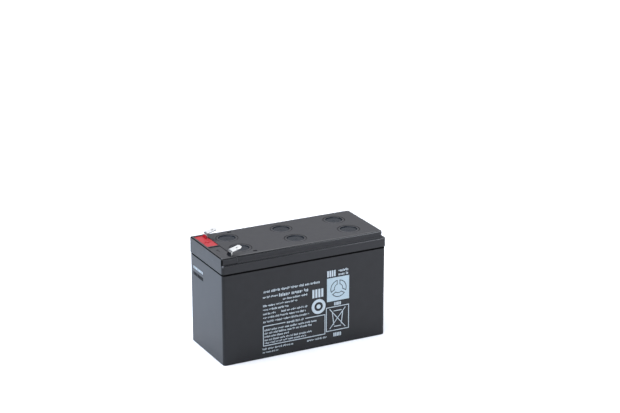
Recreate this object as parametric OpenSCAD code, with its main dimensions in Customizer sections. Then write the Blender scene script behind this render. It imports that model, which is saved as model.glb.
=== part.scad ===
// Small sealed lead-acid battery block, six cells, with two push-on tab terminals.
// Millimetres. Origin at the middle of the underside, X along the length, Z up.
// Both terminals are at the -X end; the printed long side faces -Y.

/* [Case] */
// Length over the lid, along X
lid_l = 151; // [140:1:170]
// Width over the lid, along Y
lid_w = 65; // [60:1:76]
// Height from the underside to the lid's flat top
lid_top = 93; // [88:1:110]
// How far the lid stands out past the case walls
lid_lip = 0.4; // [0.2:0.1:0.8]
// Thickness of the case's outer walls and floor
wall = 2.6; // [2.2:0.1:3.2]
// Thickness of the partitions between cells
partition_t = 1.6; // [1.2:0.1:2.2]
// Radius of the upright corners of case and lid
corner_r = 2.5; // [1.6:0.1:3.5]
// Rounding of the case's bottom edge
foot_r = 0.8; // [0.4:0.1:1.2]

/* [Joint between case and lid] */
// Height of the lid from its lower rim to its flat top
lid_h = 13.7; // [12.5:0.1:16]
// Open height of the joint groove seen from outside
seam_h = 1.0; // [0.6:0.1:1.4]
// Depth of the joint groove behind the case wall
seam_d = 0.9; // [0.6:0.1:1.1]
// Height of the tongue on the case that enters the lid
tongue_h = 4.5; // [3.5:0.1:5.5]
// Sideways room for cement at each side of the tongue
cement_gap = 0.1; // [0.05:0.05:0.2]

/* [Lid] */
// Height of the lid's outer band
band_h = 7.9; // [7:0.1:8.5]
// Width of the step between band and raised top, along the long sides
ledge_w = 2.4; // [1.8:0.1:2.8]
// Width of the step at the end away from the terminals
ledge_end = 2.2; // [1.6:0.1:2.8]
// Chamfer at the foot of the raised top, where it meets the band
root_c = 0.8; // [0.4:0.1:1]
// Rounding of the raised top's edge
top_r = 1.2; // [0.6:0.1:1.6]
// Rounding of the band's upper edge
band_r = 0.8; // [0.4:0.1:1.2]
// Thickness of the lid's top plate
plate_t = 2.2; // [1.8:0.1:2.6]
// Thickness of the lips that hold the tongue
lip_t = 1.5; // [1.2:0.1:1.8]
// Length of the terminal block at the end of the lid
end_block_l = 14.7; // [13.6:0.1:18]
// Width of the step along the terminal block
end_ledge_w = 1.2; // [0.8:0.1:1.6]
// Length of the two gate dimples
dimple_l = 4; // [3:0.5:6]
// Width of the two gate dimples
dimple_w = 1.8; // [1.2:0.1:2.6]
// Depth of the two gate dimples
dimple_d = 0.5; // [0.3:0.1:1]
// Place of the gate dimples, from the terminal end
dimple_x = 33; // [30:1:36]
// Distance of the gate dimples from the lid's long sides
dimple_side = 7.5; // [6.6:0.1:8]

/* [Valves] */
// Radius of a valve cover
cover_r = 9.2; // [8.6:0.1:9.8]
// Thickness of a valve cover
cover_t = 1.6; // [1.2:0.1:2]
// Gap round a valve cover in its seat
cover_gap = 0.3; // [0.2:0.05:0.4]
// Radius of the dished middle of a valve cover
dish_r = 7.3; // [6.6:0.1:8]
// Depth of the dish, whose side slopes at 45 degrees
dish_d = 0.7; // [0.4:0.05:0.8]
// Width of the ledge that the cover rests on
seat_w = 0.8; // [0.5:0.1:1.2]
// Wall thickness round a valve well
well_wall = 1.8; // [1.4:0.1:2.2]
// Depth of a valve well below the cover
well_h = 7.4; // [7:0.1:8]
// Thickness of a valve well's floor
well_floor = 1.8; // [1.4:0.1:2.2]
// Gap between a terminal pocket and the nearest valve seat
valve_gap = 3.6; // [2.4:0.1:4.4]
// How far the valves lie from their cells' middles, towards the lid's middle line
valve_in = 1.95; // [1:0.05:2.2]
// Outer radius of a vent stub
stub_r = 3.4; // [3:0.1:3.8]
// Radius of the vent bore
vent_r = 1.6; // [1.2:0.1:2]
// Height of a vent stub above the well's floor
stub_h = 5.2; // [4.6:0.1:5.6]
// Wall thickness of a rubber vent cap
cap_wall = 1.4; // [1.1:0.1:1.8]
// Gap between a rubber vent cap and the cover above it
cap_top_gap = 0.3; // [0.1:0.1:0.6]
// Gap between a cap's skirt and the well's floor
cap_gap = 0.3; // [0.2:0.1:0.5]

/* [Terminals] */
// Length of a terminal pocket, along X
pocket_l = 10.2; // [9.8:0.1:10.6]
// Width of the lid left outside a terminal pocket, along its long side
pocket_side = 4.5; // [4:0.1:5]
// Thickness of the wall between pocket and lid end
pocket_end = 2.2; // [1.8:0.1:2.6]
// Thickness of the wall between the two pockets
pocket_mid = 1.6; // [1.2:0.1:2]
// Depth of a pocket below the lid's top
pocket_h = 6.8; // [6:0.1:7.2]
// Thickness of a pocket's floor
pocket_floor = 1.8; // [1.4:0.1:2.2]
// How far the sealing resin lies below the lid's top
resin_drop = 0.4; // [0.2:0.1:0.8]
// Height that the resin climbs on the outer face of a tab's leg
climb_h = 2.0; // [1:0.1:2.2]
// How far that climb spreads from the leg towards the lid's end
climb_l = 1.6; // [1:0.1:2]
// Arm length of the polarity marks
mark_l = 5.5; // [4:0.5:7]
// Arm width of the polarity marks
mark_t = 1.4; // [1:0.1:2]
// Depth of the polarity marks
mark_d = 0.4; // [0.2:0.1:0.6]
// Distance of the polarity marks from the middle line
mark_y = 11; // [9:0.5:12]
// Distance of the polarity marks from the pocket's end wall
mark_gap = 4.3; // [3.6:0.1:5]

/* [Tabs] */
// Width of a push-on tab
tab_w = 6.35; // [4.75:0.05:6.35]
// Thickness of a push-on tab
tab_t = 0.8; // [0.5:0.1:0.8]
// Gap between the tab and the pocket's inner wall, along X
tab_gap = 0.85; // [0.5:0.05:1.2]
// Gap between the tab and the pocket's outer wall, along Y
tab_side_gap = 0.825; // [0.5:0.025:1.5]
// Height of the tab's upright part above the lid
tab_rise = 2.1; // [1.6:0.1:4]
// Inner radius of the tab's bend
bend_r = 1.0; // [0.6:0.1:1.6]
// Slope of the blade above the lid, in degrees
blade_tilt = 15.5; // [5:0.5:40]
// Length of the blade past the bend
blade_l = 8.6; // [7.5:0.1:10]
// Chamfer of the blade's tip corners
tip_c = 1.1; // [0.6:0.1:1.6]
// Radius of the blade's latch hole
tab_hole_r = 0.85; // [0.6:0.05:1]
// Distance of the latch hole from the tip
tab_hole_x = 3.6; // [3:0.1:4.2]
// Length of the tab's foot on its post
foot_l = 6.4; // [6.1:0.1:6.6]
// Radius of a terminal post
post_r = 3.0; // [2.6:0.1:3]
// Radius of the pip on a post
pip_r = 1.4; // [1:0.1:1.8]
// Height of the pip on a post
pip_h = 1.5; // [1.1:0.1:1.8]
// Height of the post's top above the pocket's floor
post_up = 1.8; // [1.4:0.1:2.2]
// Sideways room round posts, pips and welds
fit_gap = 0.05; // [0.03:0.01:0.1]

/* [Cells] */
// Positive plates in a cell
pos_n = 4; // [2:1:6]
// Share of a cell's width that its positive plates take
pos_share = 0.348; // [0.3:0.002:0.38]
// Share of a cell's width that its negative plates take
neg_share = 0.314; // [0.28:0.002:0.34]
// Gap between the plates and the cell's end walls
plate_end = 1.6; // [1.2:0.1:2.4]
// Height of the plates' lower edge above the cell's floor
plate_up = 1.5; // [1:0.1:2.5]
// How far the glass mats stand above the plates
mat_over = 1.6; // [1:0.1:2]
// Gap between the glass mats and the cell's end walls
mat_end = 0.6; // [0.3:0.1:1]
// Length of a plate lug, along X
lug_l = 6; // [4:0.5:7]
// Height of a plate lug below its strap
lug_h = 3; // [2.4:0.1:3.4]
// Length of a strap, along X
strap_l = 9; // [8:0.5:11]
// Thickness of a strap
strap_t = 3.5; // [3:0.1:4]
// Gap between a strap and the cell's side walls
strap_side = 1.15; // [0.8:0.05:1.4]
// Gap between a strap and the cell's end wall
strap_gap = 0.4; // [0.2:0.1:0.6]
// Thickness of the upright ear that meets a partition
ear_t = 3; // [2.4:0.1:3.4]
// Width of the upright ear
ear_w = 9; // [8:0.5:10]
// Height of the upright ear above its strap
ear_h = 4; // [3.4:0.1:5]
// Gap between the ears and the lid
ear_gap = 1; // [0.5:0.1:2]
// Radius of the weld through a partition
weld_r = 3.2; // [2.4:0.1:3.2]

/* [Print] */
// Thickness of the printed ink
ink_t = 0.1; // [0.06:0.02:0.2]
// Bare height of the printed side below the print
print_low = 4.6; // [3:0.1:6]
// Bare height of the printed side above the print
print_high = 11.8; // [10:0.1:14]
// Distance of the date row from the case's far edge
stamp_side = 6.5; // [5:0.5:8]
// Distance of the date row below the joint
stamp_drop = 9.2; // [8:0.1:11]
// Height of the date row
stamp_h = 2.2; // [1.6:0.1:2.6]
// Dashes in the date row
dash_n = 7; // [4:1:9]
// Spacing of the date row's dashes
dash_step = 2.8; // [2.4:0.1:3.2]
// Gap between the date row's dashes
dash_gap = 0.7; // [0.5:0.1:1]

/* [Hidden] */
case_l = lid_l - 2 * lid_lip;
case_w = lid_w - 2 * lid_lip;
seam_z = lid_top - lid_h - seam_h;
skirt_z = seam_z + seam_h;
tongue_z = seam_z + tongue_h;
band_z = skirt_z + band_h;
deck_z = lid_top - plate_t;
tongue_t = wall - seam_d;
cell_l = (case_l - 2 * wall - 2 * partition_t) / 3;
cell_w = (case_w - 2 * wall - partition_t) / 2;
cell_step = cell_l + partition_t;
cell_y = (cell_w + partition_t) / 2;
// Room for the tongue inside the lid, and the lid's clear space over each cell
open_l = cell_l - 2 * cement_gap - 2 * lip_t;
open_w = cell_w - 2 * cement_gap - 2 * lip_t;
seat_r = cover_r + cover_gap;
well_r = seat_r - seat_w;
well_out_r = well_r + well_wall;
well_top_z = lid_top - cover_t;
well_z = well_top_z - well_h;
cap_in_r = stub_r + fit_gap;
cap_crown = well_h - stub_h - cap_top_gap;
cap_out_r = cap_in_r + cap_wall;
left_x = -lid_l / 2;
pocket_x = left_x + pocket_end;
pocket_w = lid_w / 2 - pocket_mid / 2 - pocket_side;
valve_pitch = -(pocket_x + pocket_l + valve_gap + seat_r);
valve_y = cell_y - valve_in;
pocket_z = lid_top - pocket_h;
resin_z = lid_top - resin_drop;
mark_x = pocket_x + mark_gap;
leg_x = pocket_x + pocket_l - tab_gap - tab_t;
tab_y = lid_w / 2 - pocket_side - tab_side_gap - tab_w / 2;
bend_x = leg_x + tab_t + bend_r;
post_x = leg_x - post_r - 2 * fit_gap;
post_z = pocket_z + post_up;
neg_n = pos_n + 1;
mat_n = 2 * pos_n;
// Plates come in whole tenths of a millimetre, and the mats fill the rest of the cell
pos_t = round(10 * cell_w * pos_share / pos_n) / 10;
neg_t = round(10 * cell_w * neg_share / neg_n) / 10;
mat_t = (cell_w - pos_n * pos_t - neg_n * neg_t) / mat_n;
// One repeat across a cell: negative plate, mat, positive plate, mat
pair_step = neg_t + pos_t + 2 * mat_t;
plate_l = cell_l - 2 * plate_end;
mat_l = cell_l - 2 * mat_end;
// The straps hang below the lid, and the plates below the straps
ear_top = skirt_z - ear_gap;
strap_top = ear_top - ear_h;
strap_z = strap_top - strap_t;
plate_top = strap_z - lug_h;
plate_z = wall + plate_up;
mat_top = plate_top + mat_over;
strap_x = cell_l / 2 - strap_gap - strap_l / 2;
strap_w = cell_w - 2 * strap_side;
weld_z = ear_top - weld_r - fit_gap;
// The print is laid out in units: its height, the stroke of its outlines, the height of a row
print_u = 62;
line_u = 0.9;
row_u = 1.7;
print_unit = (seam_z - print_low - print_high) / print_u;
// Cells run from the positive terminal along +Y and back along -Y
cell_col = [0, 1, 2, 2, 1, 0];
cell_side = [1, 1, 1, -1, -1, -1];
round_fn = 32;

function cell_x(k) = (cell_col[k] - 1) * cell_step;
function valve_x(k) = (cell_col[k] - 1) * valve_pitch;
function arc(cx, cz, r, a0, a1, n = 5) =
    [for (i = [0 : n]) let (a = a0 + (a1 - a0) * i / n) [cx + r * cos(a), cz + r * sin(a)]];

// One rounded upright corner, with its lower and upper edge rounded by r_low and r_up
module corner_post(z0, z1, r, r_low, r_up) {
    low = r_low > 0 ? arc(r - r_low, z0 + r_low, r_low, -90, 0) : [[r, z0]];
    up = r_up > 0 ? arc(r - r_up, z1 - r_up, r_up, 0, 90) : [[r, z1]];
    rotate_extrude($fn = round_fn) polygon(concat([[0, z0]], low, up, [[0, z1]]));
}

// Block between two corners in plan, rounded upright corners and edges
module soft_block(x0, x1, y0, y1, z0, z1, r, r_low = 0, r_up = 0) {
    hull() for (x = [x0 + r, x1 - r], y = [y0 + r, y1 - r])
        translate([x, y, 0]) corner_post(z0, z1, r, r_low, r_up);
}

module box(x0, x1, y0, y1, z0, z1) {
    translate([x0, y0, z0]) cube([x1 - x0, y1 - y0, z1 - z0]);
}

// Something for each of the six cells, at the cell's middle
module at_cell(k) {
    translate([cell_x(k), cell_side[k] * cell_y, 0]) children();
}

module at_valve(k) {
    translate([valve_x(k), cell_side[k] * valve_y, 0]) children();
}

// Ring in plan that follows the case walls, grown by g at each face
module wall_ring(z0, z1, g) {
    inset = seam_d - g;
    difference() {
        soft_block(inset - case_l / 2, case_l / 2 - inset,
            inset - case_w / 2, case_w / 2 - inset, z0, z1, corner_r - inset);
        for (k = [0 : 5]) at_cell(k)
            box(g - cell_l / 2, cell_l / 2 - g, g - cell_w / 2, cell_w / 2 - g,
                z0 - 1, z1 + 1);
    }
}

// Weld place k lies between cell k and cell k + 1
module at_weld(k) {
    if (k == 2)
        translate([cell_x(2) + strap_x, 0, weld_z]) rotate([90, 0, 0]) children();
    else
        translate([(cell_x(k) + cell_x(k + 1)) / 2, cell_side[k] * cell_y, weld_z])
            rotate([0, 90, 0]) children();
}

module container() {
    color("#3a3b40") difference() {
        union() {
            soft_block(-case_l / 2, case_l / 2, -case_w / 2, case_w / 2,
                0, seam_z, corner_r, foot_r, 0);
            wall_ring(seam_z - wall, tongue_z, 0);
        }
        for (k = [0 : 5]) at_cell(k)
            box(-cell_l / 2, cell_l / 2, -cell_w / 2, cell_w / 2, wall, tongue_z + 1);
        for (k = [0 : 4]) at_weld(k)
            cylinder(h = partition_t + 1, r = weld_r + fit_gap, center = true, $fn = 48);
    }
}

// Sloped root of the raised top, sunk a little into the band
module raised_root() {
    sink = 0.3;
    r0 = corner_r + root_c + sink;
    x0 = left_x + root_c + sink + corner_r;
    x1 = -left_x - ledge_end - corner_r;
    y1 = lid_w / 2 - ledge_w - corner_r;
    hull() for (x = [x0, x1], y = [-y1, y1]) translate([x, y, band_z - sink])
        cylinder(h = root_c + sink, r1 = r0, r2 = corner_r, $fn = round_fn);
}

module lid_shell() {
    difference() {
        union() {
            soft_block(left_x, -left_x, -lid_w / 2, lid_w / 2,
                skirt_z, band_z, corner_r, 0, band_r);
            soft_block(left_x, -left_x - ledge_end, ledge_w - lid_w / 2, lid_w / 2 - ledge_w,
                band_z - band_r, lid_top, corner_r, 0, top_r);
            raised_root();
            soft_block(left_x, left_x + end_block_l, end_ledge_w - lid_w / 2,
                lid_w / 2 - end_ledge_w, band_z - band_r, lid_top, top_r, 0, top_r);
        }
        for (k = [0 : 5]) at_cell(k)
            box(-open_l / 2, open_l / 2, -open_w / 2, open_w / 2, skirt_z - 1, deck_z);
        wall_ring(skirt_z - 1, tongue_z, cement_gap);
    }
}

module lid() {
    color("#4a4c51") difference() {
        union() {
            lid_shell();
            for (k = [0 : 5]) at_valve(k)
                translate([0, 0, well_z - well_floor])
                    cylinder(h = lid_top - plate_t / 2 - well_z + well_floor, r = well_out_r, $fn = 64);
            for (s = [-1, 1]) mirror([0, s < 0 ? 1 : 0, 0])
                box(pocket_x - pocket_end / 2, pocket_x + pocket_l + pocket_floor,
                    0, pocket_mid / 2 + pocket_w + pocket_floor / 2,
                    pocket_z - pocket_floor, lid_top - plate_t / 2);
        }
        for (k = [0 : 5]) at_valve(k) {
            translate([0, 0, well_top_z]) cylinder(h = cover_t + 1, r = seat_r, $fn = 64);
            difference() {
                translate([0, 0, well_z]) cylinder(h = well_h + 1, r = well_r, $fn = 64);
                translate([0, 0, well_z - 1]) cylinder(h = stub_h + 1, r = stub_r, $fn = 48);
            }
            translate([0, 0, well_z - well_floor - 1])
                cylinder(h = well_floor + stub_h + 2, r = vent_r, $fn = 32);
        }
        for (s = [-1, 1]) mirror([0, s < 0 ? 1 : 0, 0]) {
            box(pocket_x, pocket_x + pocket_l, pocket_mid / 2, pocket_mid / 2 + pocket_w,
                pocket_z, lid_top + 1);
            translate([post_x, tab_y, skirt_z - 1])
                cylinder(h = pocket_z - skirt_z + 2, r = post_r + fit_gap, $fn = 48);
            translate([left_x + dimple_x, lid_w / 2 - dimple_side, lid_top - dimple_d])
                linear_extrude(dimple_d + 1) stadium(dimple_l, dimple_w);
        }
    }
}

module stadium(l, w) {
    square([l - w, w], center = true);
    for (s = [-1, 1]) translate([s * (l - w) / 2, 0]) circle(d = w, $fn = 32);
}

module valve_cover(k) {
    color("#4d535b") at_valve(k) difference() {
        translate([0, 0, well_top_z]) cylinder(h = cover_t, r = cover_r, $fn = 96);
        translate([0, 0, lid_top - dish_d])
            cylinder(h = dish_d + 1, r1 = dish_r - dish_d, r2 = dish_r + 1, $fn = 96);
    }
}

module vent_cap(k) {
    stub_top = well_z + stub_h;
    color("#1c1c1e") at_valve(k) difference() {
        translate([0, 0, well_z + cap_gap])
            cylinder(h = stub_h - cap_gap + cap_crown, r = cap_out_r, $fn = 48);
        translate([0, 0, well_z - 1]) cylinder(h = stub_top - well_z + 1, r = cap_in_r, $fn = 48);
    }
}

// Side outline of a tab in X and Z: foot on the post, upright leg, bend and sloping blade
function tab_side() = let (
    top = lid_top + tab_rise,
    along = [cos(blade_tilt), sin(blade_tilt)],
    inner = arc(bend_x, top, bend_r, 180, 90 + blade_tilt, 8),
    outer = arc(bend_x, top, bend_r + tab_t, 90 + blade_tilt, 180, 8))
    concat([[leg_x - foot_l, post_z], [leg_x + tab_t, post_z]], inner,
        [inner[8] + blade_l * along, outer[0] + blade_l * along], outer,
        [[leg_x, post_z + tab_t], [leg_x - foot_l, post_z + tab_t]]);

module tab() {
    difference() {
        translate([0, tab_y + tab_w / 2, 0]) rotate([90, 0, 0])
            linear_extrude(tab_w) polygon(tab_side());
        translate([bend_x, tab_y, lid_top + tab_rise]) rotate([0, -blade_tilt, 0])
            translate([0, 0, bend_r - 1]) linear_extrude(tab_t + 2) blade_cuts();
        translate([post_x, tab_y, post_z - 1])
            cylinder(h = tab_t + 2, r = pip_r + fit_gap, $fn = 32);
    }
}

// Latch hole and tip chamfers, drawn flat on the blade
module blade_cuts() {
    translate([blade_l - tab_hole_x, 0]) circle(r = tab_hole_r, $fn = 32);
    for (s = [-1, 1])
        polygon([[blade_l - 2 * tip_c, s * (tab_w / 2 + tip_c)],
            [blade_l + tip_c, s * (tab_w / 2 + tip_c)],
            [blade_l + tip_c, s * (tab_w / 2 - 2 * tip_c)]]);
}

module post() {
    translate([post_x, tab_y, strap_top]) cylinder(h = post_z - strap_top, r = post_r, $fn = 48);
    translate([post_x, tab_y, post_z]) cylinder(h = pip_h, r = pip_r, $fn = 32);
}

// Resin fill of one pocket, round the post and the tab's foot
module resin_fill() {
    difference() {
        union() {
            box(pocket_x, pocket_x + pocket_l, pocket_mid / 2, pocket_mid / 2 + pocket_w,
                pocket_z, resin_z);
            translate([0, tab_y + tab_w / 2, 0]) rotate([90, 0, 0]) linear_extrude(tab_w)
                polygon([[leg_x - climb_l, resin_z], [leg_x, resin_z + climb_h],
                    [leg_x, resin_z - 1], [leg_x - climb_l, resin_z - 1]]);
        }
        tab();
        post();
        translate([mark_x, mark_y, resin_z - mark_d]) linear_extrude(mark_d + 1)
            square([mark_t, mark_l], center = true);
    }
}

module positive_resin() {
    color("#d9505a") difference() {
        resin_fill();
        translate([mark_x, mark_y, resin_z - mark_d]) linear_extrude(mark_d + 1)
            square([mark_l, mark_t], center = true);
    }
}

module negative_resin() {
    color("#232326") mirror([0, 1, 0]) resin_fill();
}

module positive_tab() {
    color("#dfe1e0") tab();
}

module negative_tab() {
    color("#dfe1e0") mirror([0, 1, 0]) tab();
}

module positive_post() {
    color("#8b8d92") post();
}

module negative_post() {
    color("#8b8d92") mirror([0, 1, 0]) post();
}

// Plates side by side from first_y on, each with its lug under the strap
module plate_row(count, first_y, thick, end) {
    for (i = [0 : count - 1]) {
        y = first_y + i * pair_step;
        box(-plate_l / 2, plate_l / 2, y, y + thick, plate_z, plate_top);
        box(end * strap_x - lug_l / 2, end * strap_x + lug_l / 2, y, y + thick,
            plate_top - 1, strap_z + 1);
    }
    box(end * strap_x - strap_l / 2, end * strap_x + strap_l / 2,
        -strap_w / 2, strap_w / 2, strap_z, strap_top);
}

// Ear towards the neighbour cell through an X wall; end is the wall's side
module ear_end(end) {
    x = end * (cell_l / 2 - ear_t / 2);
    box(x - ear_t / 2, x + ear_t / 2, -ear_w / 2, ear_w / 2, strap_z, ear_top);
}

// Ear towards the neighbour cell across the middle wall; side is the wall's side
module ear_side(end, side) {
    y = side * (cell_w / 2 - ear_t / 2);
    box(end * strap_x - strap_l / 2, end * strap_x + strap_l / 2,
        y - ear_t / 2, y + ear_t / 2, strap_z, ear_top);
}

// Positive end of cell k: +1 at its +X end, -1 at its -X end
function positive_end(k) = -cell_side[k];

module positive_plates(k) {
    color("#5b4a3f") at_cell(k) union() {
        plate_row(pos_n, neg_t + mat_t - cell_w / 2, pos_t, positive_end(k));
        if (k == 3) ear_side(positive_end(k), -cell_side[k]);
        else if (k > 0) ear_end(positive_end(k));
    }
}

module negative_plates(k) {
    color("#77797d") at_cell(k) union() {
        plate_row(neg_n, -cell_w / 2, neg_t, -positive_end(k));
        if (k == 2) ear_side(-positive_end(k), -cell_side[k]);
        else if (k < 5) ear_end(-positive_end(k));
    }
}

module glass_mats(k) {
    color("#e8e8e4") at_cell(k) for (i = [0 : mat_n - 1]) {
        pair = floor(i / 2);
        lead = i % 2 == 0 ? neg_t : neg_t + mat_t + pos_t;
        y = pair * pair_step + lead - cell_w / 2;
        box(-mat_l / 2, mat_l / 2, y, y + mat_t, wall, mat_top);
    }
}

module cell_weld(k) {
    color("#9a9ca1") at_weld(k) cylinder(h = partition_t, r = weld_r, center = true, $fn = 48);
}

// Print shapes in layout units, x from the face's middle and z from the print's lower edge
module ink_bar(x0, x1, z0, h = row_u) {
    translate([x0, z0]) square([x1 - x0, h]);
}

module ink_frame(x0, x1, z0, z1) {
    difference() {
        translate([x0, z0]) square([x1 - x0, z1 - z0]);
        translate([x0 + line_u, z0 + line_u])
            square([x1 - x0 - 2 * line_u, z1 - z0 - 2 * line_u]);
    }
}

module ink_ring(x, z, r_out, r_in) {
    translate([x, z]) difference() {
        circle(r = r_out, $fn = 64);
        circle(r = r_in, $fn = 64);
    }
}

// Title rows, and the rows of small dashes below them
module ink_rows() {
    ink_bar(-38.6, 14.9, 53, 2.1);
    ink_bar(-39.3, -25.1, 48.4);
    ink_bar(-24.6, 3.1, 48, 2.3);
    ink_bar(-21.1, 2.4, 44.2);
    ink_bar(-39.3, -7.6, 40.9);
    ink_bar(-39.3, -16.1, 37.4);
    ink_bar(-39.3, -27.6, 33.8);
    ink_bar(-22.6, 3.1, 33.8);
    ink_bar(-39.3, -0.1, 30.4);
    ink_bar(-39.3, 3.1, 26.8);
    ink_bar(-40.1, -11.6, 2.8);
    ink_bar(-39.9, -25.6, 0, 1.4);
    ink_bar(1.2, 19.4, 2.6);
}

// Framed block of dashes, its top line open in the middle for a short heading
module ink_block() {
    difference() {
        ink_frame(-39.6, 19.4, 6.2, 24.2);
        translate([-19.1, 22.9]) square([18.5, 2]);
    }
    ink_bar(-17.6, -2.1, 22.8, 1.9);
    ink_bar(-38.1, 10.4, 19.4);
    ink_bar(-38.1, 5.7, 16.5);
    ink_bar(-38.1, -15.6, 13.6);
    ink_bar(-38.1, 5.7, 10.6);
    ink_bar(-38.1, 0.9, 8, 1.5);
}

// Ring, bars, disc field and crossed square at the right
module ink_marks() {
    ink_ring(12.2, 32.2, 6.4, 4.3);
    ink_bar(10.9, 13.5, 31.6, 1.2);
    ink_bar(6.1, 18.9, 40.3, 3.4);
    ink_bar(8.1, 16.9, 44.6, 3.4);
    difference() {
        ink_bar(20.7, 42.1, 34.6, 21.6);
        ink_ring(31.6, 45.6, 7.6, 6.5);
        translate([31.6, 45.6]) circle(r = 3, $fn = 48);
    }
    ink_bar(21.1, 41.9, 57.3, 1.6);
    ink_bar(24.1, 38.9, 60.4, 1.6);
    ink_bar(28.1, 34.5, 30.6);
    ink_frame(19.7, 42.1, 7.4, 29.6);
    translate([30.9, 18.5]) for (s = [-1, 1]) rotate(s * 50)
        square([20, line_u], center = true);
    ink_bar(27.4, 34.4, 3);
}

module front_print() {
    color("#9fb3c2") translate([0, -case_w / 2, print_low]) rotate([90, 0, 0])
        linear_extrude(ink_t) scale([print_unit, print_unit]) {
            ink_rows();
            ink_block();
            ink_marks();
        }
}

// Dashed date row on the terminal end, near the joint and the +Y side
module end_stamp() {
    color("#b4c0ca") translate([-case_l / 2, 0, 0]) rotate([90, 0, -90])
        linear_extrude(ink_t) for (i = [0 : dash_n - 1])
            translate([stamp_side - case_w / 2 + i * dash_step, seam_z - stamp_drop - stamp_h])
                square([dash_step - dash_gap, stamp_h]);
}

container();
lid();
positive_resin();
negative_resin();
positive_tab();
negative_tab();
positive_post();
negative_post();
valve_cover(0);  // valve_cover_1
valve_cover(1);  // valve_cover_2
valve_cover(2);  // valve_cover_3
valve_cover(3);  // valve_cover_4
valve_cover(4);  // valve_cover_5
valve_cover(5);  // valve_cover_6
vent_cap(0);  // vent_cap_1
vent_cap(1);  // vent_cap_2
vent_cap(2);  // vent_cap_3
vent_cap(3);  // vent_cap_4
vent_cap(4);  // vent_cap_5
vent_cap(5);  // vent_cap_6
positive_plates(0);  // positive_plates_1
positive_plates(1);  // positive_plates_2
positive_plates(2);  // positive_plates_3
positive_plates(3);  // positive_plates_4
positive_plates(4);  // positive_plates_5
positive_plates(5);  // positive_plates_6
negative_plates(0);  // negative_plates_1
negative_plates(1);  // negative_plates_2
negative_plates(2);  // negative_plates_3
negative_plates(3);  // negative_plates_4
negative_plates(4);  // negative_plates_5
negative_plates(5);  // negative_plates_6
glass_mats(0);  // glass_mats_1
glass_mats(1);  // glass_mats_2
glass_mats(2);  // glass_mats_3
glass_mats(3);  // glass_mats_4
glass_mats(4);  // glass_mats_5
glass_mats(5);  // glass_mats_6
cell_weld(0);  // cell_weld_1
cell_weld(1);  // cell_weld_2
cell_weld(2);  // cell_weld_3
cell_weld(3);  // cell_weld_4
cell_weld(4);  // cell_weld_5
front_print();
end_stamp();
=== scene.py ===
"""Sealed lead-acid battery block with two push-on tabs, dressed over its CAD frame.

Lengths in the classes are millimetres in the frame of the CAD model: origin at the middle of the
underside, X along the length with both terminals at the -X end, Z up.
"""

import logging
import math
import random
from collections.abc import Callable, Iterable
from dataclasses import dataclass
from enum import Enum

import bmesh
import bpy
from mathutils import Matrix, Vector


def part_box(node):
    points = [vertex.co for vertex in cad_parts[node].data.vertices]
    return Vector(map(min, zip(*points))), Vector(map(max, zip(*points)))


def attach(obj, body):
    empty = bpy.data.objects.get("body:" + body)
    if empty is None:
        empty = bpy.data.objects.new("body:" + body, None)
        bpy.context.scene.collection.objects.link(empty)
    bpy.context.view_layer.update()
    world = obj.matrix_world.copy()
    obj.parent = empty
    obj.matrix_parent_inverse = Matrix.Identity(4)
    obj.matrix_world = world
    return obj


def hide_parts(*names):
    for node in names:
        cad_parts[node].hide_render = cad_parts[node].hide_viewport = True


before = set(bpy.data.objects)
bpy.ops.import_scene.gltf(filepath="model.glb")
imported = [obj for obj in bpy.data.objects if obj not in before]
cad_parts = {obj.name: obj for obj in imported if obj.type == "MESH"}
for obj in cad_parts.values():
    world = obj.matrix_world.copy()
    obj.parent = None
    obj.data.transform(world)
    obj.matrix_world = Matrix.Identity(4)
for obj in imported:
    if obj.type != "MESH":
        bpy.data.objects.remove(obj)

MM = 0.001
BODY = "root"
log = logging.getLogger("battery")

Point = tuple[float, float, float]
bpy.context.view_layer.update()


class Boolean(Enum):
    """What a cutting or joining solid does to a piece."""

    CUT = "DIFFERENCE"
    JOIN = "UNION"


class Side(Enum):
    """The two terminals, by the sign of their place along Y."""

    POSITIVE = 1
    NEGATIVE = -1


# Modelling


def select_only(obj: bpy.types.Object) -> None:
    """Makes obj the only selected object and the active one."""
    bpy.ops.object.select_all(action="DESELECT")
    obj.select_set(True)
    bpy.context.view_layer.objects.active = obj


def settle(obj: bpy.types.Object) -> None:
    """Puts the object's place, turn and scale into its mesh."""
    select_only(obj)
    bpy.ops.object.transform_apply(location=True, rotation=True, scale=True)


def block(name: str, low: Point, high: Point) -> bpy.types.Object:
    """Adds a cube primitive between two corners.

    Args:
        name: The object's name.
        low: Lowest corner, in millimetres.
        high: Highest corner, in millimetres.

    Returns:
        The new object, its place in its mesh.
    """
    bpy.ops.object.select_all(action="DESELECT")
    middle = [(a + b) / 2 * MM for a, b in zip(low, high)]
    size = [(b - a) * MM for a, b in zip(low, high)]
    bpy.ops.mesh.primitive_cube_add(size=1, location=middle, scale=size)
    obj = bpy.context.active_object
    obj.name = name
    settle(obj)
    return obj


def disc(name: str, foot: Point, radius: float, height: float, sides: int = 64) -> bpy.types.Object:
    """Adds an upright cylinder primitive.

    Args:
        name: The object's name.
        foot: Middle of its lower face, in millimetres.
        radius: Radius, in millimetres.
        height: Height, in millimetres.
        sides: Number of sides.

    Returns:
        The new object, its place in its mesh.
    """
    bpy.ops.object.select_all(action="DESELECT")
    middle = [foot[0] * MM, foot[1] * MM, (foot[2] + height / 2) * MM]
    bpy.ops.mesh.primitive_cylinder_add(
        vertices=sides, radius=radius * MM, depth=height * MM, location=middle
    )
    obj = bpy.context.active_object
    obj.name = name
    settle(obj)
    return obj


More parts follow.
